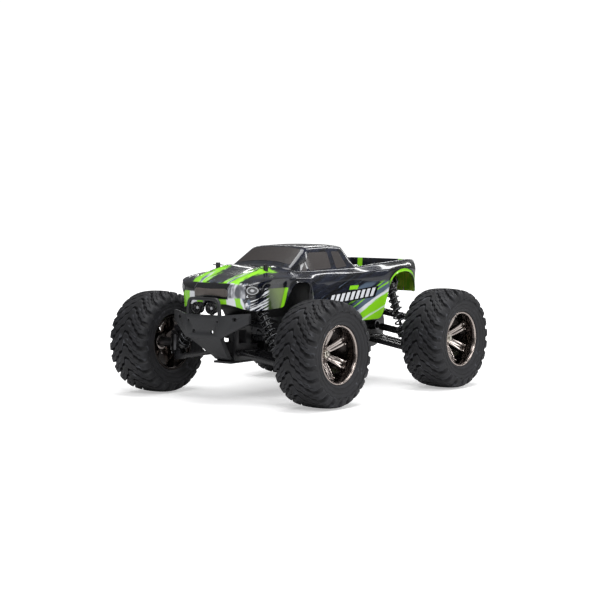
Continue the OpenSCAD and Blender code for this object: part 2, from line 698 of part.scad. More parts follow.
module shock_body(end, side) color("#1b1b1e") corner(end, side) in_shock_frame(end) {
    difference() {
        union() {
            rotate([90, 0, 0]) cylinder(r = 3.6, h = 8, center = true);
            translate([0, 0, 1]) cylinder(r = 3, h = 5);
            translate([0, 0, 5]) cylinder(r = 7.2, h = 5);
            translate([0, 0, 5]) cylinder(r = 4.3, h = body_end - 5);
        }
        rotate([90, 0, 0]) cylinder(r = run_r, h = 20, center = true);
        translate([0, 0, 12]) cylinder(r = 1.85, h = 40);
    }
}

module shock_rod(end, side) color("#a9abb0") corner(end, side) in_shock_frame(end) {
    foot = shock_len(end);
    difference() {
        union() {
            translate([0, 0, body_end - 12]) cylinder(r = 1.75, h = foot - body_end + 8);
            translate([0, 0, foot - 9]) cylinder(r = 6.6, h = 2.2);
            translate([0, 0, foot - 8]) cylinder(r = 3, h = 4.4);
            translate([0, 0, foot]) rotate([90, 0, 0]) cylinder(r = 4.1, h = 4.4, center = true);
        }
        translate([0, 0, foot]) rotate([90, 0, 0]) cylinder(r = pin_r + shock_pin_room, h = 10, center = true);
    }
}

module shock_spring(end, side) color("#5d6066") corner(end, side) in_shock_frame(end)
    rotate_extrude() translate([spring_r, 0]) {
        z0 = 10.3;
        z1 = shock_len(end) - 9.3;
        pitch = (z1 - z0 - 2 * spring_wire) / (spring_turns - 1);
        for (i = [0:spring_turns - 1]) translate([-0.2, z0 + spring_wire + i * pitch]) circle(spring_wire, $fn = 16);
    }

// ---------- wheels ----------

bead_r = rim_d / 2 + 0.1;
lip_x = tyre_w / 2 - 4.5; // the rim's outer lip, from the wheel's middle

// Half of the tyre's outer profile: [distance from the middle plane, radius]
tyre_half = [[0, tyre_d / 2], [tyre_w * 0.28, tyre_d / 2 - 0.6], [tyre_w * 0.42, tyre_d / 2 - 3.2],
             [tyre_w * 0.49, tyre_d / 2 - 8.5], [tyre_w * 0.5, tyre_d / 2 - 14], [tyre_w * 0.47, tyre_d / 2 - 20],
             [tyre_w * 0.42, bead_r]];
tyre_inner_half = [[0, tyre_d / 2 - 5], [tyre_w * 0.36, tyre_d / 2 - 7], [tyre_w * 0.45, tyre_d / 2 - 14],
                   [tyre_w * 0.43, tyre_d / 2 - 20], [tyre_w * 0.36, bead_r]];

module wheel_frame(end, side) {
    corner(end, side) translate([wheel_x, 0, axle_z]) rotate([0, 90, 0]) children();
}

module tyre(end, side) color("#1c1c1e") wheel_frame(end, side) rotate_extrude($fn = 96)
    polygon(concat([for (p = tyre_half) [p[1], p[0]]],
                   [for (i = [len(tyre_inner_half) - 1:-1:0]) [tyre_inner_half[i][1], tyre_inner_half[i][0]]],
                   [for (i = [1:len(tyre_inner_half) - 1]) [tyre_inner_half[i][1], -tyre_inner_half[i][0]]],
                   [for (i = [len(tyre_half) - 1:-1:1]) [tyre_half[i][1], -tyre_half[i][0]]]));

module rim(end, side) color("#6b5f58") wheel_frame(end, side) {
    hub = [-6, hub_face_x - wheel_x];
    r = rim_d / 2;
    difference() {
        union() {
            rotate_extrude($fn = 96) polygon([[r - 3, lip_x], [r, lip_x], [r, lip_x - 2.2], [r - 1.8, lip_x - 4],
                [r - 1.8, -lip_x + 4], [r, -lip_x + 2.2], [r, -lip_x], [r - 3.4, -lip_x], [r - 3.8, 0],
                [r - 3.4, lip_x - 6]]);
            translate([0, 0, hub[0]]) cylinder(r = 9, h = hub[1] - hub[0]);
            for (i = [0:5], d = [-1, 1]) rotate([0, 0, 60 * i + 30])
                translate([6, d * 3.2 - 1.6, -2]) cube([r - 9, 3.2, 6]);
        }
        translate([0, 0, hub[0] - 1]) cylinder(r = shaft_r + 0.05, h = 30);
    }
}

// ---------- what is drawn ----------

chassis_tub();
front_bulkhead();
front_shock_tower();
rear_gearbox_case();
rear_shock_tower();
body_shell();
body_clips();
front_bumper();
bumper_lamps();
hinge_pins();
drive_motor();
steering_servo();
battery_pack();
receiver_box();
motor_pinion();
spur_gear();
differential();
steering_horn();
steering_link();
power_switch();

for (end = [front, rear], side = [left, right]) {
    at = str(end == front ? "front" : "rear", "_", side == left ? "left" : "right", "_");
    lower_arm(end, side);
    upper_arm(end, side);
    shock_body(end, side);
    shock_rod(end, side);
    shock_spring(end, side);
    tyre(end, side);
    rim(end, side);
}
for (side = [left, right]) {
    at = side == left ? "left_" : "right_";
    hub_carrier(side);
    knuckle(side);
    tie_rod(side);
    upright(side);
    rear_axle(side);
    half_shaft(side);
}
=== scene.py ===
"""Looks of the remote-control monster truck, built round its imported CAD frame.

The frame has -Y at the truck's front, +X on its left and +Z up. Shapes are given in millimetres
and turned into metres when their mesh is made.
"""
import json
import math

import bmesh
import bpy
import numpy as np
from mathutils import Matrix, Vector
from mathutils.bvhtree import BVHTree
from mathutils.geometry import delaunay_2d_cdt


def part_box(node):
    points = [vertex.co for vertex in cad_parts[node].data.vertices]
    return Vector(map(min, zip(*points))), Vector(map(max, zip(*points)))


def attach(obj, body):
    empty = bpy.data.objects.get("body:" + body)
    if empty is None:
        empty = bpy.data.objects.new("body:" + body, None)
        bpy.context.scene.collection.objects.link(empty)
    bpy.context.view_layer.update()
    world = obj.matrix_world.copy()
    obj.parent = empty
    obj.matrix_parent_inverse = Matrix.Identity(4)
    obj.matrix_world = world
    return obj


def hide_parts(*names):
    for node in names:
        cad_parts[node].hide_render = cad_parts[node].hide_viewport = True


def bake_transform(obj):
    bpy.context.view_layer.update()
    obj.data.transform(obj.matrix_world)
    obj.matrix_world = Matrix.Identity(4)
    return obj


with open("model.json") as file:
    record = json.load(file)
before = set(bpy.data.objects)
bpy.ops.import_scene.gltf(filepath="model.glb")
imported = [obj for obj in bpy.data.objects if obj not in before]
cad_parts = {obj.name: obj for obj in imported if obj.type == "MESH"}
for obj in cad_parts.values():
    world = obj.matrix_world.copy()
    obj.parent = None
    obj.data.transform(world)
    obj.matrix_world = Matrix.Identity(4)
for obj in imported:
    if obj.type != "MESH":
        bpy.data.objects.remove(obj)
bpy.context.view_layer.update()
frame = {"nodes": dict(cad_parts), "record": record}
MM = 0.001
ENDS = {"front": -1, "rear": 1}
SIDES = {"left": 1, "right": -1}
CORNERS = [(end, side) for end in ENDS for side in SIDES]


# ---------------------------------------------------------------- materials

class Shade:
    """One procedural material. Its methods add nodes and return their output sockets."""

    def __init__(self, name, rough=0.5, metal=0.0, coat=0.0, coat_rough=0.04, specular=0.5):
        self.mat = bpy.data.materials.new(name)
        self.mat.use_nodes = True
        self.nodes = self.mat.node_tree.nodes
        self.links = self.mat.node_tree.links
        self.bsdf = self.nodes["Principled BSDF"]
        for socket, value in (("Roughness", rough), ("Metallic", metal), ("Coat Weight", coat),
                              ("Coat Roughness", coat_rough), ("Specular IOR Level", specular)):
            self.bsdf.inputs[socket].default_value = value
        self.place = self.nodes.new("ShaderNodeTexCoord").outputs["Object"]

    def put(self, socket, value):
        if isinstance(value, bpy.types.NodeSocket):
            self.links.new(value, socket)
        elif isinstance(value, tuple) and len(value) == 3 and socket.type == "RGBA":
            socket.default_value = (*value, 1.0)
        else:
            socket.default_value = value

    def set(self, socket, value):
        self.put(self.bsdf.inputs[socket], value)

    def node(self, kind, inputs, **settings):
        """A new node with its settings, and a value or a link for each of the inputs"""
        node = self.nodes.new("ShaderNode" + kind)
        for name, value in settings.items():
            setattr(node, name, value)
        for socket, value in inputs.items():
            self.put(node.inputs[socket], value)
        return node

    def math(self, kind, a, b=0.0):
        return self.node("Math", {0: a, 1: b}, operation=kind).outputs[0]

    def weighted(self, terms, constant=0.0):
        """constant plus the sum of weight * value over the terms"""
        total = constant
        for weight, value in terms:
            total = self.node("Math", {0: value, 1: weight, 2: total}, operation="MULTIPLY_ADD").outputs[0]
        return total

    def step(self, value, low, high):
        """0 below low and 1 above high, smoothly; or 1 below and 0 above if high is less than low"""
        ends = {"From Min": min(low, high), "From Max": max(low, high),
                "To Min": 0.0 if low < high else 1.0, "To Max": 1.0 if low < high else 0.0}
        return self.node("MapRange", {"Value": value, **ends}, interpolation_type="SMOOTHSTEP").outputs["Result"]

    def band(self, value, low, high, soft):
        """1 between low and high, and 0 outside them"""
        return self.both(self.step(value, low - soft, low + soft), self.step(value, high + soft, high - soft))

    def both(self, *masks):
        result = masks[0]
        for mask in masks[1:]:
            result = self.math("MULTIPLY", result, mask)
        return result

    def either(self, *masks):
        result = masks[0]
        for mask in masks[1:]:
            result = self.math("MAXIMUM", result, mask)
        return result

    def mix(self, a, b, *masks):
        """Colour a, with colour b over it where all the masks are 1"""
        return self.node("Mix", {"Factor": self.both(*masks), 6: a, 7: b}, data_type="RGBA").outputs[2]

    def axes(self, scale=1000.0):
        """X, Y and Z of the surface, in millimetres"""
        scaled = self.node("VectorMath", {0: self.place, "Scale": scale}, operation="SCALE")
        return self.node("SeparateXYZ", {0: scaled.outputs[0]}).outputs

    def vector(self, x, y, z=0.0):
        return self.node("CombineXYZ", {0: x, 1: y, 2: z}).outputs[0]

    def noise(self, scale, where=None, detail=3.0, rough=0.5, seed=0.0):
        """Noise of about `scale` waves a metre, or a unit of `where`"""
        inputs = {"W": seed, "Scale": scale, "Detail": detail, "Roughness": rough, "Vector": where or self.place}
        return self.node("TexNoise", inputs, noise_dimensions="4D").outputs["Fac"]

    def streaks(self, *stretch, **kind):
        """Noise with its own scale along each of two or three values"""
        return self.noise(1.0, self.vector(*(self.weighted([term]) for term in stretch)), **kind)

    def bump(self, height, distance, strength=1.0):
        bump = self.node("Bump", {"Strength": strength, "Distance": distance, "Height": height})
        self.set("Normal", bump.outputs["Normal"])


def varied(name, dark, light, rough, spread, grain, height, patch=25.0, **shader):
    """A plain material with patchy colour, uneven gloss and a fine grain"""
    m = Shade(name, **shader)
    patches = m.step(m.noise(patch, detail=5.0, rough=0.6), 0.3, 0.7)
    m.set("Base Color", m.mix(dark, light, patches))
    fine = m.noise(grain, detail=2.0, seed=3.0)
    m.set("Roughness", m.weighted([(spread, patches), (spread, fine)], rough - spread))
    m.bump(fine, height)
    return m.mat


def edge_highlight_mask(m, low, high):
    """Where the surface turns sharply outwards, from Pointiness: the mask for a painted highlight on edges"""
    return m.step(m.node("NewGeometry", {}).outputs["Pointiness"], low, high)


def nut_ended(name, dark, light):
    """Metal of the axles, with nickel plate on the wheel nuts at their outer ends"""
    m = Shade(name, metal=1.0)
    x, y, z = m.axes()
    patches = m.step(m.noise(30.0, detail=5.0, rough=0.6), 0.3, 0.7)
    nut = m.step(m.math("ABSOLUTE", x), 117.2, 117.5)
    plate = m.mix((0.55, 0.52, 0.46), (0.78, 0.75, 0.68), patches)
    m.set("Base Color", m.mix(m.mix(dark, light, patches), plate, nut))
    fine = m.noise(800.0, detail=2.0, seed=3.0)
    m.set("Roughness", m.weighted([(0.1, patches), (0.08, fine)], 0.2))
    m.bump(fine, 0.00003)
    return m.mat


def tyre_rubber():
    m = Shade("tyre_rubber", specular=0.32)
    grime = m.noise(60.0, detail=6.0, rough=0.7)
    patches = m.noise(9.0, detail=3.0, seed=2.0)
    base = m.mix((0.006, 0.006, 0.007), (0.017, 0.017, 0.020), m.step(grime, 0.35, 0.75))
    # painted highlight: the lugs' sharp edges lightened to bluish grey, in patches
    m.set("Base Color", m.mix(base, (0.055, 0.057, 0.066), edge_highlight_mask(m, 0.5, 0.6), m.step(patches, 0.2, 0.6)))
    m.set("Roughness", m.weighted([(0.25, grime)], 0.48))
    m.bump(m.noise(900.0, detail=3.0), 0.00012)
    return m.mat


def chrome_gunmetal():
    m = Shade("rim_gunmetal", metal=1.0)
    cloud = m.noise(40.0, detail=4.0)
    m.set("Base Color", m.mix((0.30, 0.262, 0.245), (0.50, 0.45, 0.42), m.step(cloud, 0.3, 0.7)))
    m.set("Roughness", m.weighted([(0.12, m.noise(220.0, detail=3.0, seed=4.0))], 0.1))
    return m.mat


def window_film():
    """Tinted film: warm grey-brown, with lighter clouds"""
    m = Shade("window_film", coat=0.25, coat_rough=0.12, specular=0.35)
    cloud = m.noise(12.0, detail=2.0)
    lighter = m.step(m.weighted([(14.0, cloud)]), 3.0, 12.0)
    m.set("Base Color", m.mix((0.020, 0.016, 0.0155), (0.034, 0.028, 0.027), lighter))
    m.set("Roughness", m.weighted([(0.15, m.noise(300.0, seed=1.0))], 0.36))
    m.bump(m.noise(70.0, detail=1.0, seed=5.0), 0.0002)
    return m.mat


LIME = (0.27, 0.72, 0.018)
YELLOW_LIME = (0.50, 0.78, 0.05)
WHITE = (0.80, 0.82, 0.86)
SLATE = (0.105, 0.145, 0.205)
NAVY = (0.010, 0.013, 0.026)
BLACK = (0.0035, 0.004, 0.0055)


def shell_paint():
    """Gloss black shell with lime, white and slate brush strokes that sweep up towards the tail"""
    m = Shade("shell_paint", rough=0.2, coat=0.8, coat_rough=0.03, specular=0.25)
    x, y, z = m.axes()
    a = m.math("ABSOLUTE", x)
    normal = m.nodes.new("ShaderNodeSeparateXYZ")
    m.links.new(m.nodes.new("ShaderNodeTexCoord").outputs["Normal"], normal.inputs[0])
    sideways = m.step(m.math("ABSOLUTE", normal.outputs[0]), 0.45, 0.6)

    # Flanks: along and across the strokes, which rise at about 22 degrees
    along = m.weighted([(0.927, y), (0.375, z)])
    across = m.weighted([(-0.375, y), (0.927, z)])
    streak = m.streaks((0.012, along), (0.19, across), (0.03, x), detail=5.0, rough=0.62)
    fleck = m.streaks((0.03, along), (0.5, across), detail=4.0, seed=7.0)
    v = m.weighted([(1.0, across), (16.0, streak)], -8.0)
    flank = m.mix(BLACK, NAVY, m.step(streak, 0.4, 0.6))
    flank = m.mix(flank, SLATE, m.band(y, -40, 40, 12), m.band(z, 84, 126, 6), m.step(fleck, 0.56, 0.66))
    low_part = m.step(z, 123, 118)
    strokes = ((71, 84, SLATE, 1.2), (66, 71.5, WHITE, 0.8), (77.5, 79.0, LIME, 0.3), (30, 66.5, LIME, 0.8),
               (56.5, 58.5, WHITE, 1.6), (84, 85.2, LIME, 0.3), (88, 95, SLATE, 1.6), (99, 101, SLATE, 1.0))
    for low, high, paint, soft in strokes:
        reach = m.step(along, 48, 78) if paint != LIME or high < 70 else m.step(along, 40, 66)
        flank = m.mix(flank, paint, m.band(v, low, high, soft), reach, low_part)
    below_arch = m.step(z, 99, 101)
    flank = m.mix(flank, BLACK, m.step(y, 84, 90), below_arch)
    # a lime line round the rear arch, which is an ellipse
    arch_y = m.weighted([(1 / 33.5, y)], -116 / 33.5)
    arch_z = m.weighted([(1 / 31.5, z)], -100 / 31.5)
    arch = m.math("SQRT", m.math("ADD", m.math("MULTIPLY", arch_y, arch_y), m.math("MULTIPLY", arch_z, arch_z)))
    flank = m.mix(flank, LIME, m.band(arch, 0.90, 1.075, 0.01), below_arch, m.step(y, 86, 92))
    # a row of plain slanted bars along the door, on a black edge, and a dash above it
    lean = m.weighted([(1.0, y), (-0.45, z)])
    rise = m.weighted([(1.0, z), (-0.06, y)])
    bars = m.band(m.math("PINGPONG", lean, 4.6), -1.0, 2.9, 0.25)
    flank = m.mix(flank, BLACK, m.band(lean, -71.6, 16.4, 0.5), m.band(rise, 99.8, 112, 0.5))
    flank = m.mix(flank, WHITE, m.band(lean, -69, 13.8, 0.3), m.band(rise, 101.5, 110.5, 0.35), bars)
    flank = m.mix(flank, LIME, m.band(lean, -38, -22, 0.5), m.band(z, 114, 118.5, 0.4))
    # the recessed panel ahead of the front wheel: its green paint is darkened to olive as a painted shade under the
    # fender's overhang, lighter towards the rear
    green_in_painted_shade = m.mix((0.045, 0.075, 0.02), (0.16, 0.24, 0.05),
                  m.step(m.weighted([(1.0, y), (0.55, z), (9.0, fleck)]), -62, -38))
    slant = m.weighted([(1.0, y), (-0.22, z)])
    panel_top = m.step(z, 123, 121.5)
    flank = m.mix(flank, green_in_painted_shade, m.band(slant, -155, -127, 0.8), m.step(y, -101, -103), panel_top)
    flank = m.mix(flank, LIME, m.band(slant, -130, -126.5, 0.5), panel_top)
    flank = m.mix(flank, WHITE, m.step(y, -125, -130), m.step(z, 124, 121), m.step(fleck, 0.50, 0.53))

    # Hood and top surfaces: lime wedges each side of a black middle, flecked towards the nose
    grit = m.streaks((0.16, a), (0.028, y), detail=5.0, rough=0.65, seed=11.0)
    edge = m.weighted([(1.0, a), (-0.20, y), (26.0, grit)], -13.0)
    top = m.mix(BLACK, NAVY, m.step(grit, 0.35, 0.65))
    top = m.mix(top, LIME, m.step(m.weighted([(1.0, y), (22.0, grit)]), -84, -92), m.band(edge, 40.5, 62, 1.4))
    top = m.mix(top, WHITE, m.step(y, -118, -132), m.band(edge, 43, 52, 2), m.step(grit, 0.47, 0.56))
    top = m.mix(top, BLACK, m.band(m.weighted([(1.0, edge), (0.16, y)]), 30.5, 33, 0.8), m.step(y, -132, -124))
    middle = m.band(a, 3, 26, 4)
    top = m.mix(top, SLATE, m.step(y, -126, -142), middle, m.step(grit, 0.5, 0.6))
    top = m.mix(top, WHITE, m.step(y, -134, -146), middle, m.step(grit, 0.60, 0.66))
    # lime bars across the front of the bed and over the tailgate
    top = m.mix(top, LIME, m.band(a, 33, 41, 0.5), m.step(z, 137.2, 137.8), m.band(y, 26, 41, 1))
    top = m.mix(top, LIME, m.band(a, 26, 33, 0.5), m.step(y, 147, 149))
    shade = m.mix(top, flank, sideways)

    # Nose: upright bands below the lamps, different on each side of the middle
    fray = m.streaks((0.16, a), (0.05, z), detail=4.0, seed=17.0)
    speck = m.streaks((0.2, x), (0.2, y), (0.28, z), detail=4.0, seed=23.0)
    b = m.weighted([(1.0, a), (7.0, fray), (0.22, z)], -26.0)
    left = m.step(x, -1, 1)
    right = m.math("SUBTRACT", 1.0, left)
    limes = m.either(m.both(left, m.either(m.band(b, 11, 23, 0.5), m.band(b, 33, 39, 0.5))),
                     m.both(right, m.either(m.band(b, 35, 52, 0.5), m.band(b, 11, 21, 0.5))))
    nose = m.mix(WHITE, LIME, limes)
    nose = m.mix(nose, m.mix(BLACK, SLATE, m.step(fray, 0.5, 0.58)), left, m.step(b, 40, 42))
    nose = m.mix(nose, BLACK, m.step(b, 14, 8))
    silver = m.mix((0.10, 0.105, 0.12), (0.60, 0.61, 0.65), m.step(fray, 0.45, 0.62))
    lamps = m.either(m.both(left, m.band(z, 112.5, 127, 1.2)), m.both(right, m.step(z, 117.5, 119)))
    nose = m.mix(nose, m.mix(BLACK, silver, left), lamps, m.step(a, 20, 24))
    nose = m.mix(nose, BLACK, m.band(z, 111, 128, 1.0), m.either(m.both(left, m.step(a, 41, 43)), m.step(a, 24, 22)))
    nose = m.mix(nose, WHITE, left, m.step(a, 40, 43), m.step(speck, 0.54, 0.57))
    shade = m.mix(shade, nose, m.step(m.weighted([(1.0, y), (0.18, a)]), -139.5, -141), m.step(z, 128.5, 127.5))

    # Tail panel: lime with upright shading
    tail = m.mix(LIME, YELLOW_LIME, m.step(fray, 0.42, 0.58))
    tail = m.mix(tail, BLACK, m.step(m.weighted([(1.0, z), (3.0, fray)]), 128.5, 129.5))
    shade = m.mix(shade, tail, m.step(y, 153.2, 154.2), m.step(a, 50, 47))
    m.set("Base Color", shade)
    m.bump(m.noise(14.0, detail=1.0, seed=9.0), 0.0005, strength=0.35)
    return m.mat


def shell_lining():
    """Inside of the shell: dark, with the tail panel's lime showing through"""
    m = Shade("shell_lining", coat=0.3, coat_rough=0.2, specular=0.3)
    x, y, z = m.axes()
    cloud = m.streaks((0.25, x), (0.05, z), detail=4.0, seed=17.0)
    lime = m.mix(m.mix(LIME, YELLOW_LIME, m.step(cloud, 0.42, 0.58)), WHITE, m.step(cloud, 0.64, 0.68))
    dark = m.mix(BLACK, (0.012, 0.013, 0.016), cloud)
    m.set("Base Color", m.mix(dark, lime, m.step(y, 145, 150), m.step(z, 129, 127)))
    m.set("Roughness", m.weighted([(0.3, cloud)], 0.25))
    m.bump(m.noise(40.0), 0.0002)
    return m.mat


def floor_material():
    """A pale floor that whitens away from the truck, as a swept studio backdrop does"""
    m = Shade("studio_floor", rough=0.6, specular=0.2)
    x, y, z = m.axes(1.0)
    m.set("Base Color", m.mix((0.80, 0.80, 0.805), (0.84, 0.84, 0.845), m.noise(3.0)))
    away = m.math("SQRT", m.math("ADD", m.math("MULTIPLY", x, x), m.math("MULTIPLY", y, y)))
    glow = m.weighted([(0.62, m.step(away, 0.15, 0.75))], 0.42)
    seen = m.node("LightPath", {}).outputs["Is Camera Ray"]
    m.set("Emission Color", (1.0, 1.0, 1.0))
    m.set("Emission Strength", m.math("MULTIPLY", glow, seen))
    return m.mat


MATERIALS = {
    "shell_paint": shell_paint(),
    "window_film": window_film(),
    "tyre_rubber": tyre_rubber(),
    "rim_chrome": chrome_gunmetal(),
    "black_plastic": varied("black_nylon", (0.007, 0.007, 0.008), (0.015, 0.015, 0.017), 0.36, 0.1, 700.0, 0.00008),
    "arm_plastic": varied("arm_nylon", (0.006, 0.006, 0.007), (0.014, 0.014, 0.016), 0.27, 0.08, 600.0, 0.00006),
    "bumper_plastic": varied("bumper_plastic", (0.011, 0.0115, 0.013), (0.018, 0.019, 0.022), 0.5, 0.1, 1200.0,
                             0.00012),
    "lamp_housing": varied("lamp_black", (0.008, 0.008, 0.009), (0.014, 0.014, 0.016), 0.25, 0.08, 500.0, 0.00004),
    "steel": nut_ended("satin_steel", (0.12, 0.12, 0.125), (0.20, 0.20, 0.205)),
    "clip_wire": varied("bright_wire", (0.6, 0.6, 0.61), (0.78, 0.78, 0.78), 0.16, 0.06, 500.0, 0.00002, metal=1.0),
    "motor_can": varied("motor_can", (0.3, 0.3, 0.31), (0.42, 0.42, 0.43), 0.3, 0.08, 900.0, 0.00003, metal=1.0),
    "servo_plastic": varied("servo_plastic", (0.010, 0.010, 0.011), (0.018, 0.018, 0.02), 0.4, 0.1, 900.0, 0.00005),
    "battery_wrap": varied("battery_wrap", (0.012, 0.045, 0.14), (0.02, 0.07, 0.2), 0.26, 0.08, 120.0, 0.0001,
                           coat=0.5),
    "brass_gear": varied("brass", (0.5, 0.34, 0.12), (0.65, 0.47, 0.2), 0.22, 0.08, 600.0, 0.00003, metal=1.0),
    "gear_nylon": varied("gear_nylon", (0.02, 0.02, 0.022), (0.035, 0.035, 0.038), 0.42, 0.1, 700.0, 0.00005),
    "switch_plastic": varied("switch_plastic", (0.45, 0.45, 0.45), (0.6, 0.6, 0.6), 0.4, 0.1, 700.0, 0.00004),
    "knuckle_metal": nut_ended("dark_alloy", (0.05, 0.05, 0.054), (0.09, 0.09, 0.095)),
    "shock_black": varied("shock_black", (0.006, 0.006, 0.007), (0.012, 0.012, 0.013), 0.2, 0.08, 700.0, 0.00003),
    "spring_wire": varied("spring_wire", (0.05, 0.052, 0.056), (0.1, 0.102, 0.11), 0.22, 0.08, 600.0, 0.00003,
                          metal=0.8),
    "headlight": varied("headlight", (0.30, 0.31, 0.33), (0.55, 0.56, 0.58), 0.18, 0.08, 300.0, 0.00004, coat=0.8),
}
RIM_BARREL = varied("rim_barrel", (0.035, 0.030, 0.028), (0.075, 0.064, 0.060), 0.2, 0.08, 300.0, 0.00003,
                    metal=1.0)
RIM_LIP = varied("rim_lip", (0.30, 0.258, 0.236), (0.46, 0.40, 0.37), 0.2, 0.06, 400.0, 0.00003, metal=1.0)
GRILLE_FILM = varied("grille_film", (0.085, 0.072, 0.064), (0.14, 0.12, 0.108), 0.3, 0.1, 260.0, 0.00006,
                     patch=18.0, coat=0.3)
LAMP_LENS = varied("lamp_lens", (0.02, 0.021, 0.023), (0.05, 0.052, 0.056), 0.12, 0.05, 200.0, 0.00006, coat=1.0)
SHADOW_GAP = varied("shadow_gap", (0.002, 0.002, 0.002), (0.004, 0.004, 0.004), 0.6, 0.1, 300.0, 0.00002)


# ---------------------------------------------------------------- pieces

def new_object(name, data):
    ob = bpy.data.objects.new(name, data)
    bpy.context.collection.objects.link(ob)
    return ob


def new_mesh(name, verts, faces):
    """A mesh from millimetre points"""
    mesh = bpy.data.meshes.new(name)
    mesh.from_pydata([tuple(c * MM for c in v) for v in verts], [], [tuple(f) for f in faces])
    mesh.validate()
    return mesh


def piece(name, verts, faces, body, slot, material=None, sharp=35.0, instead_of=(), thick=0.0, bevel=0.0):
    """A mesh piece from millimetre points, riding on a body"""
    mesh = new_mesh(name, verts, faces)
    ob = new_object(name, mesh)
    bm = bmesh.new()
    bm.from_mesh(mesh)
    bmesh.ops.remove_doubles(bm, verts=bm.verts, dist=2e-7)
    bmesh.ops.recalc_face_normals(bm, faces=bm.faces)
    bm.to_mesh(mesh)
    bm.free()
    if thick:
        add_thickness(ob, thick)
    if bevel:
        add_bevel(ob, bevel)
    dress(ob, material or MATERIALS[slot], body, instead_of, sharp)
    return ob


def add_thickness(ob, thick):
    modifier = ob.modifiers.new("thickness", "SOLIDIFY")
    modifier.thickness = thick * MM
    modifier.offset = -1.0
    return modifier


def add_bevel(ob, width):
    modifier = ob.modifiers.new("soft_edges", "BEVEL")
    modifier.width = width * MM
    modifier.segments = 2
    modifier.limit_method = "ANGLE"
    modifier.angle_limit = math.radians(38.0)
    modifier.use_clamp_overlap = True


def dress(ob, material, body, instead_of=(), sharp=35.0):
    """Applies modifiers and gives a piece its material or materials and body"""
    ob.data.materials.clear()
    for each in material if isinstance(material, tuple) else (material,):
        ob.data.materials.append(each)
    if ob.modifiers:
        bpy.context.view_layer.update()
        done = bpy.data.meshes.new_from_object(ob.evaluated_get(bpy.context.evaluated_depsgraph_get()))
        ob.modifiers.clear()
        ob.data = done
    ob.data.shade_smooth()
    ob.data.set_sharp_from_angle(angle=math.radians(sharp))
    if body:
        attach(ob, body)
    if instead_of:
        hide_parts(*instead_of)


def rings(sections, closed=False, caps=False):
    """Vertices and faces of a skin over equally long sections; each section is a closed ring"""
    count = len(sections[0])
    verts = [p for s in sections for p in s]
    last = len(sections) if closed else len(sections) - 1
    faces = []
    for i in range(last):
        a, b = i * count, (i + 1) % len(sections) * count
        faces += [(a + k, a + (k + 1) % count, b + (k + 1) % count, b + k) for k in range(count)]
    if caps:
        faces += [tuple(range(count - 1, -1, -1)), tuple(range(len(verts) - count, len(verts)))]
    return verts, faces


def joined(*parts):
    """Several (verts, faces) pairs as one"""
    verts, faces = [], []
    for part_verts, part_faces in parts:
        base = len(verts)
        verts += list(part_verts)
        faces += [tuple(base + i for i in f) for f in part_faces]
    return verts, faces


def moved(part, matrix):
    """Verts and faces carried by a 4 by 4 matrix whose translation is in millimetres"""
    verts, faces = part
    return [tuple(matrix @ Vector(v)) for v in verts], faces


def full_turn(steps):
    return [2 * math.pi * k / steps for k in range(steps)]


def lathe(profile, sides=48, closed=False):
    """Turns (radius, axial) points about +Z. With closed, the profile is a loop."""
    count = len(profile)
    verts = [(r * math.cos(a), r * math.sin(a), h) for a in full_turn(sides) for r, h in profile]
    faces = []
    for i in range(sides):
        a, b = i * count, (i + 1) % sides * count
        last = count if closed else count - 1
        faces += [(a + k, b + k, b + (k + 1) % count, a + (k + 1) % count) for k in range(last)]
    return verts, faces


def facing(direction):
    """Rotation that takes +Z to a direction"""
    return Vector((0, 0, 1)).rotation_difference(Vector(direction)).to_matrix().to_4x4()


def at(place, direction=(0, 0, 1), turn=0.0):
    return Matrix.Translation(Vector(place)) @ facing(direction) @ Matrix.Rotation(turn, 4, "Z")


def tube(path, radius, sides=10, closed=False):
    """A round tube along points, with its frame carried from point to point"""
    points = [Vector(p) for p in path]
    n = len(points)
    sections = []
    side = None
    for i, p in enumerate(points):
        ahead = points[(i + 1) % n] if closed or i < n - 1 else p
        behind = points[i - 1] if closed or i else p
        tangent = (ahead - behind).normalized()
        if side is None:
            side = tangent.orthogonal().normalized()
        side = (side - tangent * side.dot(tangent)).normalized()
        up = tangent.cross(side)
        sections.append([tuple(p + radius * (math.cos(t) * side + math.sin(t) * up)) for t in full_turn(sides)])
    return rings(sections, closed=closed, caps=not closed)


def corner_frame(end, side):
    """Takes points given for the left side of an axle at y = 0 to a corner of the truck"""
    return Matrix.Translation((0, ENDS[end] * AXLE_Y, 0)) @ Matrix.Diagonal((SIDES[side], 1, 1, 1))


def node_middle(name):
    low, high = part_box(name)
    return [(a + b) / 2 / MM for a, b in zip(low, high)]


AXLE_Y = node_middle("rear_left_tyre")[1]
WHEEL_X, _, AXLE_Z = node_middle("front_left_tyre")
TYRE_R = (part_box("front_left_tyre")[1][2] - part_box("front_left_tyre")[0][2]) / 2 / MM


# ---------------------------------------------------------------- tyres

LUGS = 24
# Rows across half the tread: distance from the middle, radius below the crown, how far the pattern
# has swept back, and how deep its grooves are. The sweep is stepped, so the grooves zigzag.
TREAD_ROWS = [(0.0, 0.0, 0.0, 2.6), (2.2, 0.0, 3.2, 2.8), (3.4, 0.05, 4.0, 3.0), (6.8, 0.15, 5.8, 3.2),
              (7.8, 0.2, 9.0, 3.2), (8.8, 0.25, 10.0, 3.2), (12.4, 0.5, 12.4, 3.2), (13.4, 0.6, 15.6, 3.2),
              (14.4, 0.7, 16.6, 3.4), (17.8, 1.2, 18.6, 3.6), (18.8, 1.4, 20.8, 3.8), (20.0, 1.7, 21.6, 4.0),
              (22.4, 2.7, 22.4, 4.0), (24.2, 4.2, 22.8, 3.8), (25.4, 6.4, 22.8, 3.2), (26.2, 8.8, 22.8, 2.4),
              (26.4, 10.6, 22.8, 1.4), (25.6, 11.4, 22.8, 0.0)]
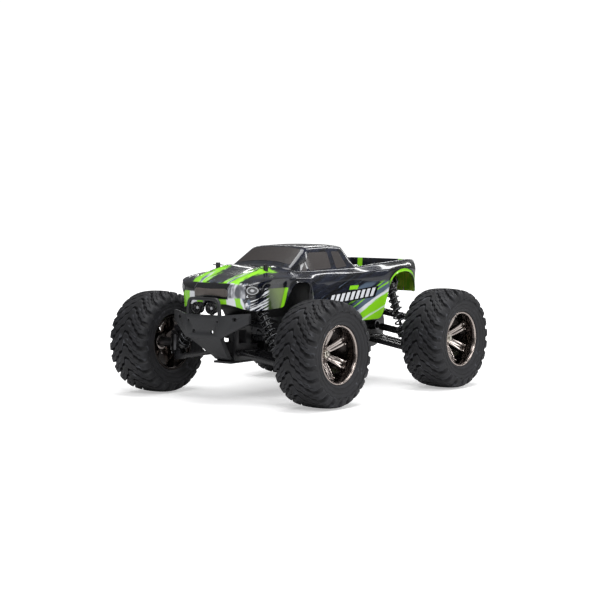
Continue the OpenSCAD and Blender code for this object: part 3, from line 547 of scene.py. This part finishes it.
# The smooth sidewall from the lugs to the bead: distance from the middle and radius
SIDEWALL = [(25.7, 44.6), (26.0, 43.4), (25.9, 41.0), (25.2, 39.6), (25.5, 39.2), (25.1, 36.4), (24.1, 34.6),
            (24.4, 34.2), (23.7, 32.4), (22.6, 31.3), (20.0, 31.2)]
# One lug pitch round the tyre: share of the pitch, and 0 in the groove or 1 on the lug
PITCH = [(-0.11, 1), (-0.065, 0), (0.065, 0), (0.11, 1), (0.30, 1), (0.465, 1), (0.48, 0), (0.52, 0),
         (0.535, 1), (0.72, 1)]


def tyre_mesh(hand):
    """A tyre about +Z, whose tread sweeps to one hand"""
    rows = [(-w, drop, sweep, depth) for w, drop, sweep, depth in reversed(TREAD_ROWS[1:])] + TREAD_ROWS
    pitch_arc = 2 * math.pi / LUGS
    grid = []
    for w, drop, sweep, depth in rows:
        ring = []
        # the two halves are half a pitch apart, joined across the middle
        lag = 0.25 * max(-1.0, min(1.0, w / 2.2))
        for lug, (share, high) in ((lug, point) for lug in range(LUGS) for point in PITCH):
            # grooves open out towards the shoulders
            wide = 1.0 + 1.3 * (abs(w) / 26.0) ** 2 if abs(share) < 0.2 else 1.0
            angle = hand * (lug + share * wide + lag) * pitch_arc + hand * sweep / TYRE_R
            down = depth
            # the narrow cut in the middle of a lug is shallow, and stops short of its ends
            if 0.4 < share < 0.6:
                down = 1.3 if 7.0 < abs(w) < 21.0 else 0.0
            r = TYRE_R - drop - (0.0 if high else down)
            ring.append((r * math.cos(angle), r * math.sin(angle), w))
        grid.append(ring)
    first_turn, last_turn = ([math.atan2(p[1], p[0]) for p in ring] for ring in (grid[0], grid[-1]))
    for w, r in SIDEWALL:
        grid.append([(r * math.cos(t), r * math.sin(t), w) for t in last_turn])
        grid.insert(0, [(r * math.cos(t), r * math.sin(t), -w) for t in first_turn])
    return rings(grid)


def wheel_place(end, side):
    """Takes a shape about +Z, with its outer side up, to a wheel"""
    return at((SIDES[side] * WHEEL_X, ENDS[end] * AXLE_Y, AXLE_Z), (SIDES[side], 0, 0))


def make_tyres():
    for end, side in CORNERS:
        name = f"{end}_{side}_tyre"
        # the V of the tread points forwards at the top, on both sides of the truck
        tread = moved(tyre_mesh(SIDES[side]), wheel_place(end, side))
        piece(name + "_lugged", *tread, f"{end}_{side}_wheel", "tyre_rubber", sharp=32.0, instead_of=(name,),
              bevel=0.22)


# ---------------------------------------------------------------- rims

# Heights along the wheel's axis are from the middle of the tyre, outwards.
RIM_R = 31.0              # outer radius of the rim's barrel
LIP = 22.5                # height of the outer lip, and depth of the inner one
HUB_FACE = 2.0
BOLT_CIRCLE = 8.1         # radius of the circle of small holes in the hub
SPOKES = 6


def spoke(turn):
    """One broad spoke with a valley down its middle, from the hub up to the barrel"""
    sections = []
    for r, half, top, ridge in ((6.5, 3.9, 1.9, 0.2), (10.5, 4.0, 4.6, 1.0), (15.0, 4.3, 7.2, 1.5),
                                (20.0, 4.8, 9.6, 1.7), (24.0, 5.3, 11.0, 1.8), (28.4, 6.0, 11.3, 1.6)):
        base = top - 4.6
        sections.append([(r, -half, base), (r, -half, top - 0.6), (r, -half * 0.82, top + 0.1),
                         (r, -half * 0.45, top), (r, -half * 0.2, top - ridge), (r, half * 0.2, top - ridge),
                         (r, half * 0.45, top), (r, half * 0.82, top + 0.1), (r, half, top - 0.6), (r, half, base),
                         (r, half * 0.4, base - 0.8), (r, -half * 0.4, base - 0.8)])
    return moved(rings(sections, caps=True), Matrix.Rotation(turn, 4, "Z"))


def boss(turn, across):
    """A small domed boss near the outer end of a spoke"""
    dome = lathe([(0.01, 1.9), (0.7, 1.85), (1.15, 1.5), (1.4, 0.9), (1.45, 0.0), (1.45, -2.2)], 16)
    return moved(dome, Matrix.Rotation(turn, 4, "Z") @ Matrix.Translation((24.8, across, 11.2)))


def make_rims():
    """Deep-dish rims: barrel, six double-ribbed spokes, a hub whose bolt holes are raised rims over near-black discs
    of painted shade, and a bright outer lip
    """
    barrel = lathe([(RIM_R, LIP - 1.6), (RIM_R - 1.7, LIP - 3.4), (RIM_R - 1.7, 0.0), (RIM_R - 1.7, 4.0 - LIP),
                    (RIM_R, 2.2 - LIP), (RIM_R, 0.3 - LIP), (RIM_R - 0.5, -LIP), (RIM_R - 2.4, -LIP),
                    (RIM_R - 3.2, 0.8 - LIP), (RIM_R - 3.4, 3.0 - LIP), (RIM_R - 3.5, 0.0), (RIM_R - 3.3, 9.0),
                    (RIM_R - 3.1, LIP - 4.0), (RIM_R - 2.2, LIP - 1.6)], 96, closed=True)
    lip = lathe([(RIM_R - 2.4, LIP - 2.6), (RIM_R - 1.7, LIP - 2.8), (RIM_R, LIP - 1.7), (RIM_R + 0.25, LIP - 0.9),
                 (RIM_R + 0.1, LIP - 0.2), (RIM_R - 0.5, LIP), (RIM_R - 1.3, LIP), (RIM_R - 1.9, LIP - 0.35),
                 (RIM_R - 2.3, LIP - 1.2)], 96, closed=True)
    hub = lathe([(3.05, HUB_FACE), (6.0, HUB_FACE), (6.5, HUB_FACE - 0.3), (7.0, HUB_FACE - 0.2),
                 (10.2, HUB_FACE - 0.6), (10.9, HUB_FACE - 1.4), (10.9, -2.5), (9.0, -6.0), (3.05, -6.0)], 60,
                closed=True)
    turns = full_turn(SPOKES)
    spokes = [spoke(turn) for turn in turns]
    bosses = [boss(turn, across) for turn in turns for across in (-3.6, 3.6)]

    def between_spokes(part, height):
        return [moved(part, Matrix.Rotation(turn + math.pi / SPOKES, 4, "Z")
                      @ Matrix.Translation((BOLT_CIRCLE, 0, height))) for turn in turns]

    hole_rims = between_spokes(lathe([(1.9, 0.35), (2.25, 0.5), (2.5, 0.3), (2.5, -1.0), (1.9, -1.0)], 20,
                                     closed=True), HUB_FACE - 0.5)
    # near-black discs under the hub's face: painted shade at the bottoms of the bolt holes
    hole_shadow_discs = between_spokes(lathe([(0.01, 0.08), (1.9, 0.08), (1.95, -0.3), (0.01, -0.35)], 20),
                                 HUB_FACE - 0.4)
    for end, side in CORNERS:
        place = wheel_place(end, side) @ Matrix.Rotation(math.pi, 4, "Z")
        body = f"{end}_{side}_wheel"
        name = f"{end}_{side}_rim"
        piece(name + "_spoked", *moved(joined(hub, *spokes, *bosses, *hole_rims), place), body, "rim_chrome",
              instead_of=(name,), sharp=40.0, bevel=0.18)
        piece(name + "_barrel", *moved(barrel, place), body, "rim_chrome", RIM_BARREL, sharp=40.0, bevel=0.15)
        piece(name + "_lip", *moved(lip, place), body, "rim_chrome", RIM_LIP, sharp=60.0)
        piece(name + "_bolt_well_shadows", *moved(joined(*hole_shadow_discs), place), body, "rim_chrome", SHADOW_GAP)


# ---------------------------------------------------------------- body shell

# Half of the shell's cross-section has ten points, from its lower edge to its middle. Each row below gives
# one point's (x, z) at some stations; the ones between are interpolated.
STATIONS = [-158, -155, -152, -148, -143, -138, -132, -125, -118, -111, -105, -102, -98, -94, -88, -82, -76,
            -70, -64, -59.5, -56, -53, -50, -43, -32, -18, -2, 12, 22, 27, 32, 37, 41, 42, 52, 64, 72, 77,
            80.5, 84, 88, 94, 102, 110, 118, 127, 134, 140, 145, 148.5, 149.5, 153, 157]
LOWER_Z = [(-158, 106), (-155, 104), (-152, 101), (-148, 99.6), (-143, 99.5), (-105, 101), (-102, 105),
           (-98, 116), (-94, 122.5), (-88, 126), (-82, 127), (-70, 127), (-64, 125.5), (-59.5, 121),
           (-56, 111), (-53, 99), (-50, 79), (-43, 78), (72, 78), (77, 80), (80.5, 91), (84, 104), (88, 117),
           (94, 125.8), (102, 129), (110, 130.6), (118, 130.8), (127, 129.6), (134, 126.5), (140, 120.5),
           (145, 112), (148.5, 105.5), (153, 104.2), (157, 105)]
CREASE_X = [(-158, 22), (-155, 33), (-152, 42), (-148, 49), (-143, 53.8), (-138, 56), (-132, 57.4),
            (-125, 58.4), (-100, 59), (-59.5, 58), (-50, 56.8), (-30, 55.6), (60, 55.6), (84, 58),
            (118, 58.2), (134, 57), (145, 54), (149, 51.6), (153, 48.5), (157, 43.5)]
CREASE_Z = [(-158, 121.5), (-152, 125), (-143, 129), (-132, 131.5), (-118, 132.3), (-88, 131.5),
            (-59.5, 129.5), (-40, 129.5), (0, 131), (60, 132.3), (88, 133.6), (118, 134.6), (134, 133.8),
            (149, 132), (157, 130)]
SHOULDER = [(-158, 21.5, 122.1), (-152, 38, 126), (-143, 46, 130.6), (-132, 49.5, 133.8), (-118, 50.5, 135.6),
            (-100, 50.5, 136.2), (-82, 51.5, 135.2), (-64, 53, 133.8), (-50, 53.6, 133.8), (0, 52.8, 134.2),
            (37, 52.8, 134), (64, 53.8, 134.6), (94, 55.2, 136.8), (118, 55.6, 138.4), (134, 54.6, 138.8),
            (149, 50.8, 137.6), (157, 42.8, 136)]
BELT = [(-158, 20, 122.6), (-152, 32.5, 127), (-143, 36.5, 131.2), (-132, 38.2, 134.3), (-118, 38.2, 137),
        (-100, 37, 138.6), (-88, 38.5, 138.8), (-76, 43.2, 138.2), (-64, 46.6, 137.4), (-43, 48.2, 137.3),
        (22, 48.2, 137.4), (41, 48.8, 138.2), (64, 49.2, 139.6), (134, 49.6, 143.2), (149, 48.2, 142.4),
        (157, 39.5, 140.4)]
MID = [(-158, 18, 122.8), (-152, 29.5, 127.6), (-143, 33, 132), (-132, 34.2, 135.5), (-118, 33.6, 139),
       (-100, 31.6, 141.6), (-88, 33.4, 141.6), (-76, 42.2, 139.8), (-64, 44.2, 141.6), (-43, 43.0, 149.5),
       (22, 43.0, 149.2), (32, 45.2, 142.4), (37, 46.4, 138.6), (41, 46, 138.7), (64, 46, 140.2),
       (134, 46.2, 143.8), (148.5, 45.6, 143), (157, 36, 140.8)]
EDGE = [(-158, 14, 123), (-152, 25.5, 128.2), (-143, 29.4, 132.8), (-132, 30, 136.4), (-118, 28.6, 140.6),
        (-100, 26.4, 144.2), (-88, 29, 144.4), (-76, 41.2, 141.2), (-43, 36.8, 161.4), (-2, 37.2, 162),
        (22, 36.4, 161.0), (37, 44, 138.8), (41, 44.9, 138.8), (42, 44.8, 135), (148.5, 44.6, 137),
        (149.5, 43, 143.2), (157, 30, 141)]
INNER = [(-158, 10, 123.2), (-152, 20, 128.4), (-143, 24, 132.8), (-132, 24, 135.8), (-118, 22.6, 139.6),
         (-100, 20.4, 142.9), (-88, 22, 143.8), (-76, 30, 143), (-43, 29.4, 163.2), (-2, 30, 163.9),
         (22, 29.4, 162.8), (37, 42.4, 139), (41, 43.6, 139), (42, 44.2, 131.2), (148.5, 44, 131.2),
         (149.5, 39, 143.2), (157, 20, 141.2)]
QUARTER = [(-158, 5, 123.3), (-152, 10, 128.6), (-132, 12, 134.8), (-100, 10, 141.9), (-76, 15, 144.2),
           (-43, 14.8, 163.9), (-2, 15, 164.6), (22, 14.8, 163.5), (37, 21, 139.2), (41, 22, 139.2),
           (42, 22, 131), (148.5, 22, 131), (149.5, 20, 143.2), (157, 10, 141.3)]
MIDDLE = [(-158, 0, 123.4), (-152, 0, 128.6), (-132, 0, 134.6), (-100, 0, 141.7), (-76, 0, 144.4),
          (-43, 0, 164.1), (-2, 0, 164.8), (22, 0, 163.7), (37, 0, 139.2), (41, 0, 139.2), (42, 0, 131),
          (148.5, 0, 131), (149.5, 0, 143.2), (157, 0, 141.3)]
FLANK_SHARE = 0.48
PANEL_DEPTH = 3.2


def along(table, y, column=1):
    return float(np.interp(y, [row[0] for row in table], [row[column] for row in table]))


def half_section(y):
    low = along(LOWER_Z, y)
    fx, fz = along(CREASE_X, y), along(CREASE_Z, y)
    tuck = 3.4 * (fz - low) / (fz - 78)
    # ahead of the front wheel, the side steps in below the fender
    step = PANEL_DEPTH * float(np.interp(y, [-145, -140, -106, -100], [0, 1, 1, 0]))
    tail = float(np.interp(y, [84, 120, 157], [0.0, 0.0, 1.0]))
    flank_z = low + (fz - low) * (0.80 if -145 < y < -100 else FLANK_SHARE)
    lip = 1.0 if -105 < y < -52 or 77 < y < 149 else 0.0
    points = [(fx - tuck - step + lip, low), (fx - tuck * FLANK_SHARE * 0.7 - step - tail, flank_z), (fx, fz)]
    return points + [(along(t, y), along(t, y, 2)) for t in (SHOULDER, BELT, MID, EDGE, INNER, QUARTER, MIDDLE)]


def shell_cage():
    """Control cage of the shell: quads over the sections, and a nose and a tail made of rows"""
    count = 19            # points of a whole section
    verts, faces, creases = [], [], {}
    for y in STATIONS:
        half = half_section(y)
        verts += [(x, y, z) for x, z in half] + [(-x, y, z) for x, z in reversed(half[:-1])]

    def crease(a, b, weight):
        creases[tuple(sorted((a, b)))] = weight

    def line_weight(j, y):
        """Sharpness of the line through the sections' points j, behind the station y"""
        weights = {0: 1.0, 1: 0.75 if -142 < y < -103 else 0.0, 2: 0.55, 4: 0.6 if y > -76 else 0.2,
                   5: 0.75 if y > 37 else 0.0, 6: 0.5 if y < 30 else 0.6, 7: 0.8 if 38 < y < 149 else 0.0}
        return weights.get(j, 0.0)

    for i in range(len(STATIONS) - 1):
        for j in range(count - 1):
            a = i * count + j
            faces.append((a, a + count, a + count + 1, a + 1))
        for j in range(count):
            a = i * count + j
            weight = line_weight(min(j, count - 1 - j), STATIONS[i])
            if weight:
                crease(a, a + count, weight)
    # lines across the shell, by station: the first point that they join, and their sharpness
    across = {-76: (6, 0.75), -43: (6, 0.35), 22: (6, 0.6), 37: (5, 0.75), 41: (5, 0.8), 42: (5, 0.8),
              148.5: (5, 0.8), 149.5: (5, 0.8)}
    for y, (reach, weight) in across.items():
        i = STATIONS.index(y)
        for j in range(reach, count - 1 - reach):
            crease(i * count + j, i * count + j + 1, weight)
    # nose and tail panels
    for i in (0, len(STATIONS) - 1):
        base = i * count
        above = [base + j for j in range(4, count - 4)]
        top_x = [verts[k][0] for k in above]
        for row in range(3, -1, -1):
            x, y, z = verts[base + row]
            ids = [base + row]
            for tx in top_x[1:-1]:
                ids.append(len(verts))
                bulge = 1.0 - (tx / top_x[0]) ** 2
                verts.append((x * tx / top_x[0], y + (-1.6 if i == 0 else 1.2) * bulge, z))
            ids.append(base + count - 1 - row)
            for k in range(len(ids) - 1):
                quad = (ids[k], ids[k + 1], above[k + 1], above[k])
                faces.append(quad if i else tuple(reversed(quad)))
                crease(above[k], above[k + 1], 0.45 if row == 3 else 0.0)
                if row == 0:
                    crease(ids[k], ids[k + 1], 1.0)
            above = ids
        for j in range(0, 4):
            crease(base + j, base + j + 1, 0.35)
            crease(base + count - 1 - j, base + count - 2 - j, 0.35)
    return verts, faces, creases


def make_shell():
    verts, faces, creases = shell_cage()
    mesh = new_mesh("body_shell_painted", verts, faces)
    bm = bmesh.new()
    bm.from_mesh(mesh)
    bmesh.ops.recalc_face_normals(bm, faces=bm.faces)
    if sum(f.normal.z * f.calc_area() for f in bm.faces if f.calc_center_median().z > 0.12) < 0:
        bmesh.ops.reverse_faces(bm, faces=bm.faces)
    layer = bm.edges.layers.float.new("crease_edge")
    for edge in bm.edges:
        edge[layer] = creases.get(tuple(sorted(v.index for v in edge.verts)), 0.0)
    bm.to_mesh(mesh)
    bm.free()
    shell = new_object("body_shell_painted", mesh)
    subdivision = shell.modifiers.new("smooth", "SUBSURF")
    subdivision.levels = subdivision.render_levels = 2
    bpy.context.view_layer.update()
    skin = BVHTree.FromObject(shell, bpy.context.evaluated_depsgraph_get())
    add_thickness(shell, 1.1).material_offset = 1
    dress(shell, (MATERIALS["shell_paint"], shell_lining()), "chassis", ("body_shell",), sharp=50.0)
    return skin


# ---------------------------------------------------------------- camera, light and floor

def aimed(ob, place, aim):
    ob.location = place
    ob.rotation_euler = (Vector(aim) - Vector(place)).to_track_quat("-Z", "Y").to_euler()


def make_stage():
    target = Vector((-2.7, -2.07, 101.0)) * MM
    azimuth, elevation, distance = math.radians(38.1), math.radians(4.01), 1.9582
    away = Vector((math.cos(elevation) * math.sin(azimuth), -math.cos(elevation) * math.cos(azimuth),
                   math.sin(elevation)))
    data = bpy.data.cameras.new("camera")
    data.sensor_width = 36.0
    data.lens = 104.2
    camera = new_object("camera", data)
    aimed(camera, target + distance * away, target)
    bpy.context.scene.camera = camera

    side = 30.0 / MM
    floor = new_object("floor", new_mesh("floor", [(-side, -side, 0), (side, -side, 0), (side, side, 0),
                                                   (-side, side, 0)], [(0, 1, 2, 3)]))
    floor.data.materials.append(floor_material())

    world = bpy.data.worlds.new("studio")
    world.use_nodes = True
    background = world.node_tree.nodes["Background"]
    background.inputs["Color"].default_value = (1.0, 1.0, 1.0, 1.0)
    # white where the camera sees it, dim in reflections, so that gloss black stays black
    seen = world.node_tree.nodes.new("ShaderNodeLightPath").outputs["Is Camera Ray"]
    level = world.node_tree.nodes.new("ShaderNodeMapRange")
    level.inputs["To Min"].default_value = 0.2
    level.inputs["To Max"].default_value = 1.05
    world.node_tree.links.new(seen, level.inputs["Value"])
    world.node_tree.links.new(level.outputs["Result"], background.inputs["Strength"])
    bpy.context.scene.world = world
    bpy.context.scene.view_settings.view_transform = "Standard"

    def soft_light(name, place, aim, size, power):
        lamp = bpy.data.lights.new(name, "AREA")
        lamp.shape = "RECTANGLE"
        lamp.size, lamp.size_y = size
        lamp.energy = power
        aimed(new_object(name, lamp), place, aim)

    soft_light("overhead", (0.1, 0.0, 1.5), (0, 0, 0), (0.9, 1.6), 20.0)
    soft_light("crease", (0.12, 1.25, 1.05), (0, 0, 0.1), (0.10, 1.0), 3.0)
    soft_light("flank", (0.95, 1.05, 0.85), (0, 0, 0.1), (0.08, 0.8), 2.0)
    soft_light("front", (0.8, -1.3, 1.4), (0, 0, 0.08), (0.9, 0.8), 19.0)
    soft_light("side", (1.7, 0.5, 0.75), (0, 0, 0.08), (0.35, 1.3), 9.0)
    soft_light("back", (-1.0, 1.3, 0.62), (0, 0, 0.12), (0.9, 0.05), 0.8)


# ---------------------------------------------------------------- windows, grille and headlights

# Side windows are laid out as seen from this place, ahead and to the left of the truck.
VIEWPOINT = Vector((1202.6, -1539.3, 237.8))


def rounded(outline, radius, steps=5):
    """A closed outline with each corner turned into a short curve"""
    result = []
    n = len(outline)
    for i, corner in enumerate(outline):
        corner = Vector(corner)
        a, b = Vector(outline[i - 1]) - corner, Vector(outline[(i + 1) % n]) - corner
        reach = min(radius, a.length * 0.45, b.length * 0.45)
        a, b = corner + a.normalized() * reach, corner + b.normalized() * reach
        for k in range(steps + 1):
            t = k / steps
            result.append(a * (1 - t) ** 2 + corner * 2 * t * (1 - t) + b * t ** 2)
    return result


def filled(outline, step):
    """Triangles over an outline, with a grid of points inside it"""
    points = [Vector(p) for p in outline]
    edges = [(i, (i + 1) % len(points)) for i in range(len(points))]
    low = [min(p[k] for p in points) for k in (0, 1)]
    high = [max(p[k] for p in points) for k in (0, 1)]
    for i in range(1, int((high[0] - low[0]) / step) + 1):
        for j in range(1, int((high[1] - low[1]) / step) + 1):
            points.append(Vector((low[0] + i * step, low[1] + j * step)))
    verts, _, faces, *_ = delaunay_2d_cdt(points, edges, [], 1, 1e-4)
    used = sorted({i for f in faces for i in f})
    place = {old: new for new, old in enumerate(used)}
    return [verts[i] for i in used], [tuple(place[i] for i in f) for f in faces]


def on_shell(outline, place, towards, lift, step=3.0):
    """An outline laid on the shell: `place` turns it into 3-D and `towards` gives the line of sight"""
    flat, faces = filled(outline, step)
    verts = []
    for p in flat:
        start, direction = towards(Vector(place(p)))
        hit, normal, _, _ = shell_skin.ray_cast(start * MM, direction)
        if hit is None:
            raise ValueError("a patch misses the shell")
        if normal.dot(direction) > 0:
            normal = -normal
        verts.append(tuple(hit / MM + normal * lift))
    return verts, faces


def straight(direction):
    way = Vector(direction).normalized()
    return lambda p: (p - way * 80, way)


def from_viewpoint(p):
    way = (p - VIEWPOINT).normalized()
    return p - way * 60, way


def mirrored(part):
    verts, faces = part
    return [(-x, y, z) for x, y, z in verts], faces


def make_windows():
    side = lambda p: (44, p[0], p[1])
    plan = lambda p: (p[0], p[1], 150)
    vent = [(-59.6, 137.3), (-53.6, 146.6), (-49.0, 137.3)]
    door = [(-47.4, 157.2), (-14.4, 157.1), (-5.6, 138.6), (-45.0, 137.3), (-51.6, 147.2)]
    quarter = [(-6.9, 157.3), (6.9, 156.5), (23.0, 139.4), (3.4, 138.0)]
    for name, outline, corner in (("vent", vent, 1.0), ("door", door, 2.4), ("quarter", quarter, 2.4)):
        glass = on_shell(rounded(outline, corner), side, from_viewpoint, 0.28)
        piece(name + "_windows", *joined(glass, mirrored(glass)), "chassis", "window_film", thick=0.3)
    front = [(-37.6, -71.0), (-20, -69.9), (0, -69.4), (20, -69.9), (37.6, -71.0), (33.2, -46.4), (16, -45.6),
             (-16, -45.6), (-33.2, -46.4)]
    rear = [(-31.5, 24.4), (31.5, 24.4), (37.5, 33.6), (-37.5, 33.6)]
    for name, outline in (("windshield", front), ("rear_window", rear)):
        glass = on_shell(rounded(outline, 2.6), plan, straight((0, 0, -1)), 0.28)
        piece(name, *glass, "chassis", "window_film", thick=0.3)


def make_nose_details():
    """Grille film, headlight rings and their lenses"""
    face = lambda p: (p[0], -150, p[1])
    grille = rounded([(-21.5, 113.6), (21.5, 113.6), (23.5, 119), (21.0, 122.2), (-21.0, 122.2), (-23.5, 119)], 2.0)
    piece("grille", *on_shell(grille, face, straight((0, 1, 0)), 0.3, 2.0), "chassis", "window_film", GRILLE_FILM,
          thick=0.35)
    bars = []
    for z in (115.2, 117.0, 118.8, 120.6):
        bar = [(-20.5, z - 0.35), (20.5, z - 0.35), (20.5, z + 0.35), (-20.5, z + 0.35)]
        bars.append(on_shell(rounded(bar, 0.3, 2), face, straight((0, 1, 0)), 0.75, 2.0))
    piece("grille_bars", *joined(*bars), "chassis", "window_film", GRILLE_FILM, thick=0.4)
    look = Vector((-0.5, 0.85, 0.0)).normalized()
    across = Vector((0.85, 0.5, 0.0)).normalized()
    centre = Vector((47.5, -146.5, 121.0))
    lamp = lambda p: tuple(centre + across * p[0] + Vector((0, 0, p[1])))
    squash = 0.72
    for name, r, lift, material in (("headlight_bezels", 7.2, 0.3, SHADOW_GAP),
                                    ("headlight_bowls", 6.0, 0.55, MATERIALS["headlight"]),
                                    ("headlight_lenses", 4.8, 0.8, LAMP_LENS),
                                    ("headlight_bulbs", 2.0, 1.05, MATERIALS["headlight"])):
        oval = [(r * math.cos(t), squash * r * math.sin(t)) for t in full_turn(28)]
        disc = on_shell(oval, lamp, straight(look), lift, 1.6)
        piece(name, *joined(disc, mirrored(disc)), "chassis", "headlight", material, thick=0.3)


# ---------------------------------------------------------------- springs, lamps and bumper

SHOCK_LOW = (70.0, 50.0)
SHOCK_TOP = {"front": (37.0, 112.0), "rear": (46.0, 120.0)}
SHOCK_Y = -13.0


def make_springs():
    """Coil springs along the shocks, between their top and low mounts"""
    for end, side in CORNERS:
        top = Vector((SHOCK_TOP[end][0], SHOCK_Y, SHOCK_TOP[end][1]))
        low = Vector((SHOCK_LOW[0], SHOCK_Y, SHOCK_LOW[1]))
        way = (low - top).normalized()
        length = (low - top).length
        u = Vector((0, 1, 0))
        v = way.cross(u)
        # where the coil starts and ends below the top eye, and its size
        first, last, wire, turns, coil_r = 10.3, length - 9.3, 1.0, 9.4, 5.9
        path = []
        steps = int(turns * 20)
        for k in range(steps + 1):
            t = k / steps
            # the end coils lie flat on their seats
            run = min(1.0, max(0.0, (t * turns - 0.75) / (turns - 1.5)))
            s = first + wire + run * (last - first - 2 * wire)
            a = 2 * math.pi * turns * t
            path.append(tuple(top + way * s + coil_r * (math.cos(a) * u + math.sin(a) * v)))
        place = corner_frame(end, side)
        name = f"{end}_{side}_"
        ob = piece(name + "coil", *moved(tube(path, wire, 8), place), None, "spring_wire", sharp=80.0)
        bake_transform(ob)
        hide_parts(name + "spring")


BUMPER_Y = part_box("front_bumper")[0][1] / MM


def make_lamps():
    """Two round lamps with a bezel, a ribbed bowl and a domed lens each"""
    low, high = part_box("bumper_lamps")
    z = high[2] / MM - 6.2
    shells, lenses, ribs = [], [], []
    for s in (-1, 1):
        place = at((s * 9.6, BUMPER_Y, z), (0, -1, 0))
        shells.append(moved(lathe([(6.2, -0.6), (6.0, 0.0), (5.5, 0.0), (5.1, -0.5), (4.9, -2.2), (3.2, -3.4),
                                   (1.6, -3.6), (1.6, -4.4), (4.6, -4.6), (5.2, -8.0), (6.1, -7.4), (6.2, -4.2),
                                   (5.9, -4.0), (5.9, -3.4), (6.2, -3.2)], 40, closed=True), place))
        lenses.append(moved(lathe([(0.01, -1.9), (0.9, -2.0), (1.7, -2.6), (1.9, -3.3), (1.9, -4.0),
                                   (0.01, -4.0)], 24), place))
        for a in full_turn(8):
            slat = rings([[(r, -0.22, h), (r, 0.22, h), (r, 0.22, h - 1.0), (r, -0.22, h - 1.0)]
                          for r, h in ((1.9, -2.4), (5.0, -0.9))], caps=True)
            ribs.append(moved(slat, place @ Matrix.Rotation(a, 4, "Z")))
        block = rings([[(s * 9.6 - w, y, h), (s * 9.6 + w, y, h), (s * 9.6 + w, y + 3, h), (s * 9.6 - w, y + 3, h)]
                       for w, y, h in ((1.9, BUMPER_Y + 3, 95.0), (1.4, BUMPER_Y + 3, z - 5.4))], caps=True)
        shells.append(block)
    piece("bumper_lamps_ribbed", *joined(*shells, *ribs), "chassis", "lamp_housing", sharp=40.0,
          instead_of=("bumper_lamps",))
    piece("bumper_lamp_lenses", *joined(*lenses), "chassis", "lamp_housing", MATERIALS["headlight"], sharp=50.0)


def make_hoop():
    """The bumper without its plain hoop, and a flat-sided hoop with rounded corners in its place"""
    softened("front_bumper", 0.5, below=98.0)
    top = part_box("front_bumper")[1][2] / MM
    y = BUMPER_Y + 1.75
    outline = rounded([(-21.6, 93.0), (-21.6, 102.0), (-19.4, top - 1.7), (19.4, top - 1.7), (21.6, 102.0),
                       (21.6, 93.0)], 5.0, 6)[7:-7]
    outline = [Vector((-21.6, 93.0)), *outline, Vector((21.6, 93.0))]
    sections = []
    for i, p in enumerate(outline):
        ahead = outline[min(i + 1, len(outline) - 1)] - outline[max(i - 1, 0)]
        out = Vector((-ahead.y, ahead.x)).normalized()
        sections.append([(p.x + out.x * d, y + e, p.y + out.y * d) for d, e in
                         ((-1.6, -1.2), (-1.1, -1.7), (1.1, -1.7), (1.6, -1.2), (1.6, 1.6), (-1.6, 1.6))])
    piece("bumper_hoop", *rings(sections, caps=True), "chassis", "bumper_plastic", sharp=50.0)


NODE_BODY = {node: body for body, nodes in frame["record"]["behaviour"]["bodies"].items() for node in nodes}
NODE_SLOT = {part["node"]: part["material_slot"] for part in frame["record"]["subparts"]}


def softened(node, width=0.4, below=None):
    """The node's own shape, or only what is below a height, with flat faces joined up and its edges rounded"""
    ob = new_object(node + "_softened", frame["nodes"][node].data.copy())
    bm = bmesh.new()
    bm.from_mesh(ob.data)
    bmesh.ops.remove_doubles(bm, verts=bm.verts, dist=2e-6)
    if below:
        cut = bmesh.ops.bisect_plane(bm, geom=[*bm.verts, *bm.edges, *bm.faces], plane_co=(0, 0, below * MM),
                                     plane_no=(0, 0, 1), clear_outer=True)
        bmesh.ops.holes_fill(bm, edges=[e for e in cut["geom_cut"] if isinstance(e, bmesh.types.BMEdge)])
    bmesh.ops.dissolve_limit(bm, angle_limit=math.radians(1.0), verts=bm.verts, edges=bm.edges)
    bm.to_mesh(ob.data)
    bm.free()
    add_bevel(ob, width)
    slot = NODE_SLOT[node]
    dress(ob, MATERIALS[slot], NODE_BODY[node], (node,), sharp=40.0)


make_stage()
make_tyres()
make_rims()
shell_skin = make_shell()
make_windows()
make_nose_details()
make_springs()
make_lamps()
make_hoop()

for node in ("chassis_tub", "front_bulkhead", "front_shock_tower", "rear_gearbox_case", "rear_shock_tower",
             "steering_servo", "battery_pack", "receiver_box", "steering_horn", "steering_link"):
    softened(node, 0.35)
for end, side in CORNERS:
    inner = ("hub_carrier", "knuckle") if end == "front" else ("upright",)
    for part in ("lower_arm", "upper_arm", *inner):
        softened(f"{end}_{side}_{part}", 0.45)

# ---------------------------------------------------------------- CAD nodes that keep their shape

for node, slot in NODE_SLOT.items():
    materials = frame["nodes"][node].data.materials
    materials.clear()
    materials.append(MATERIALS["shock_black" if node.endswith("shock_rod") else slot])
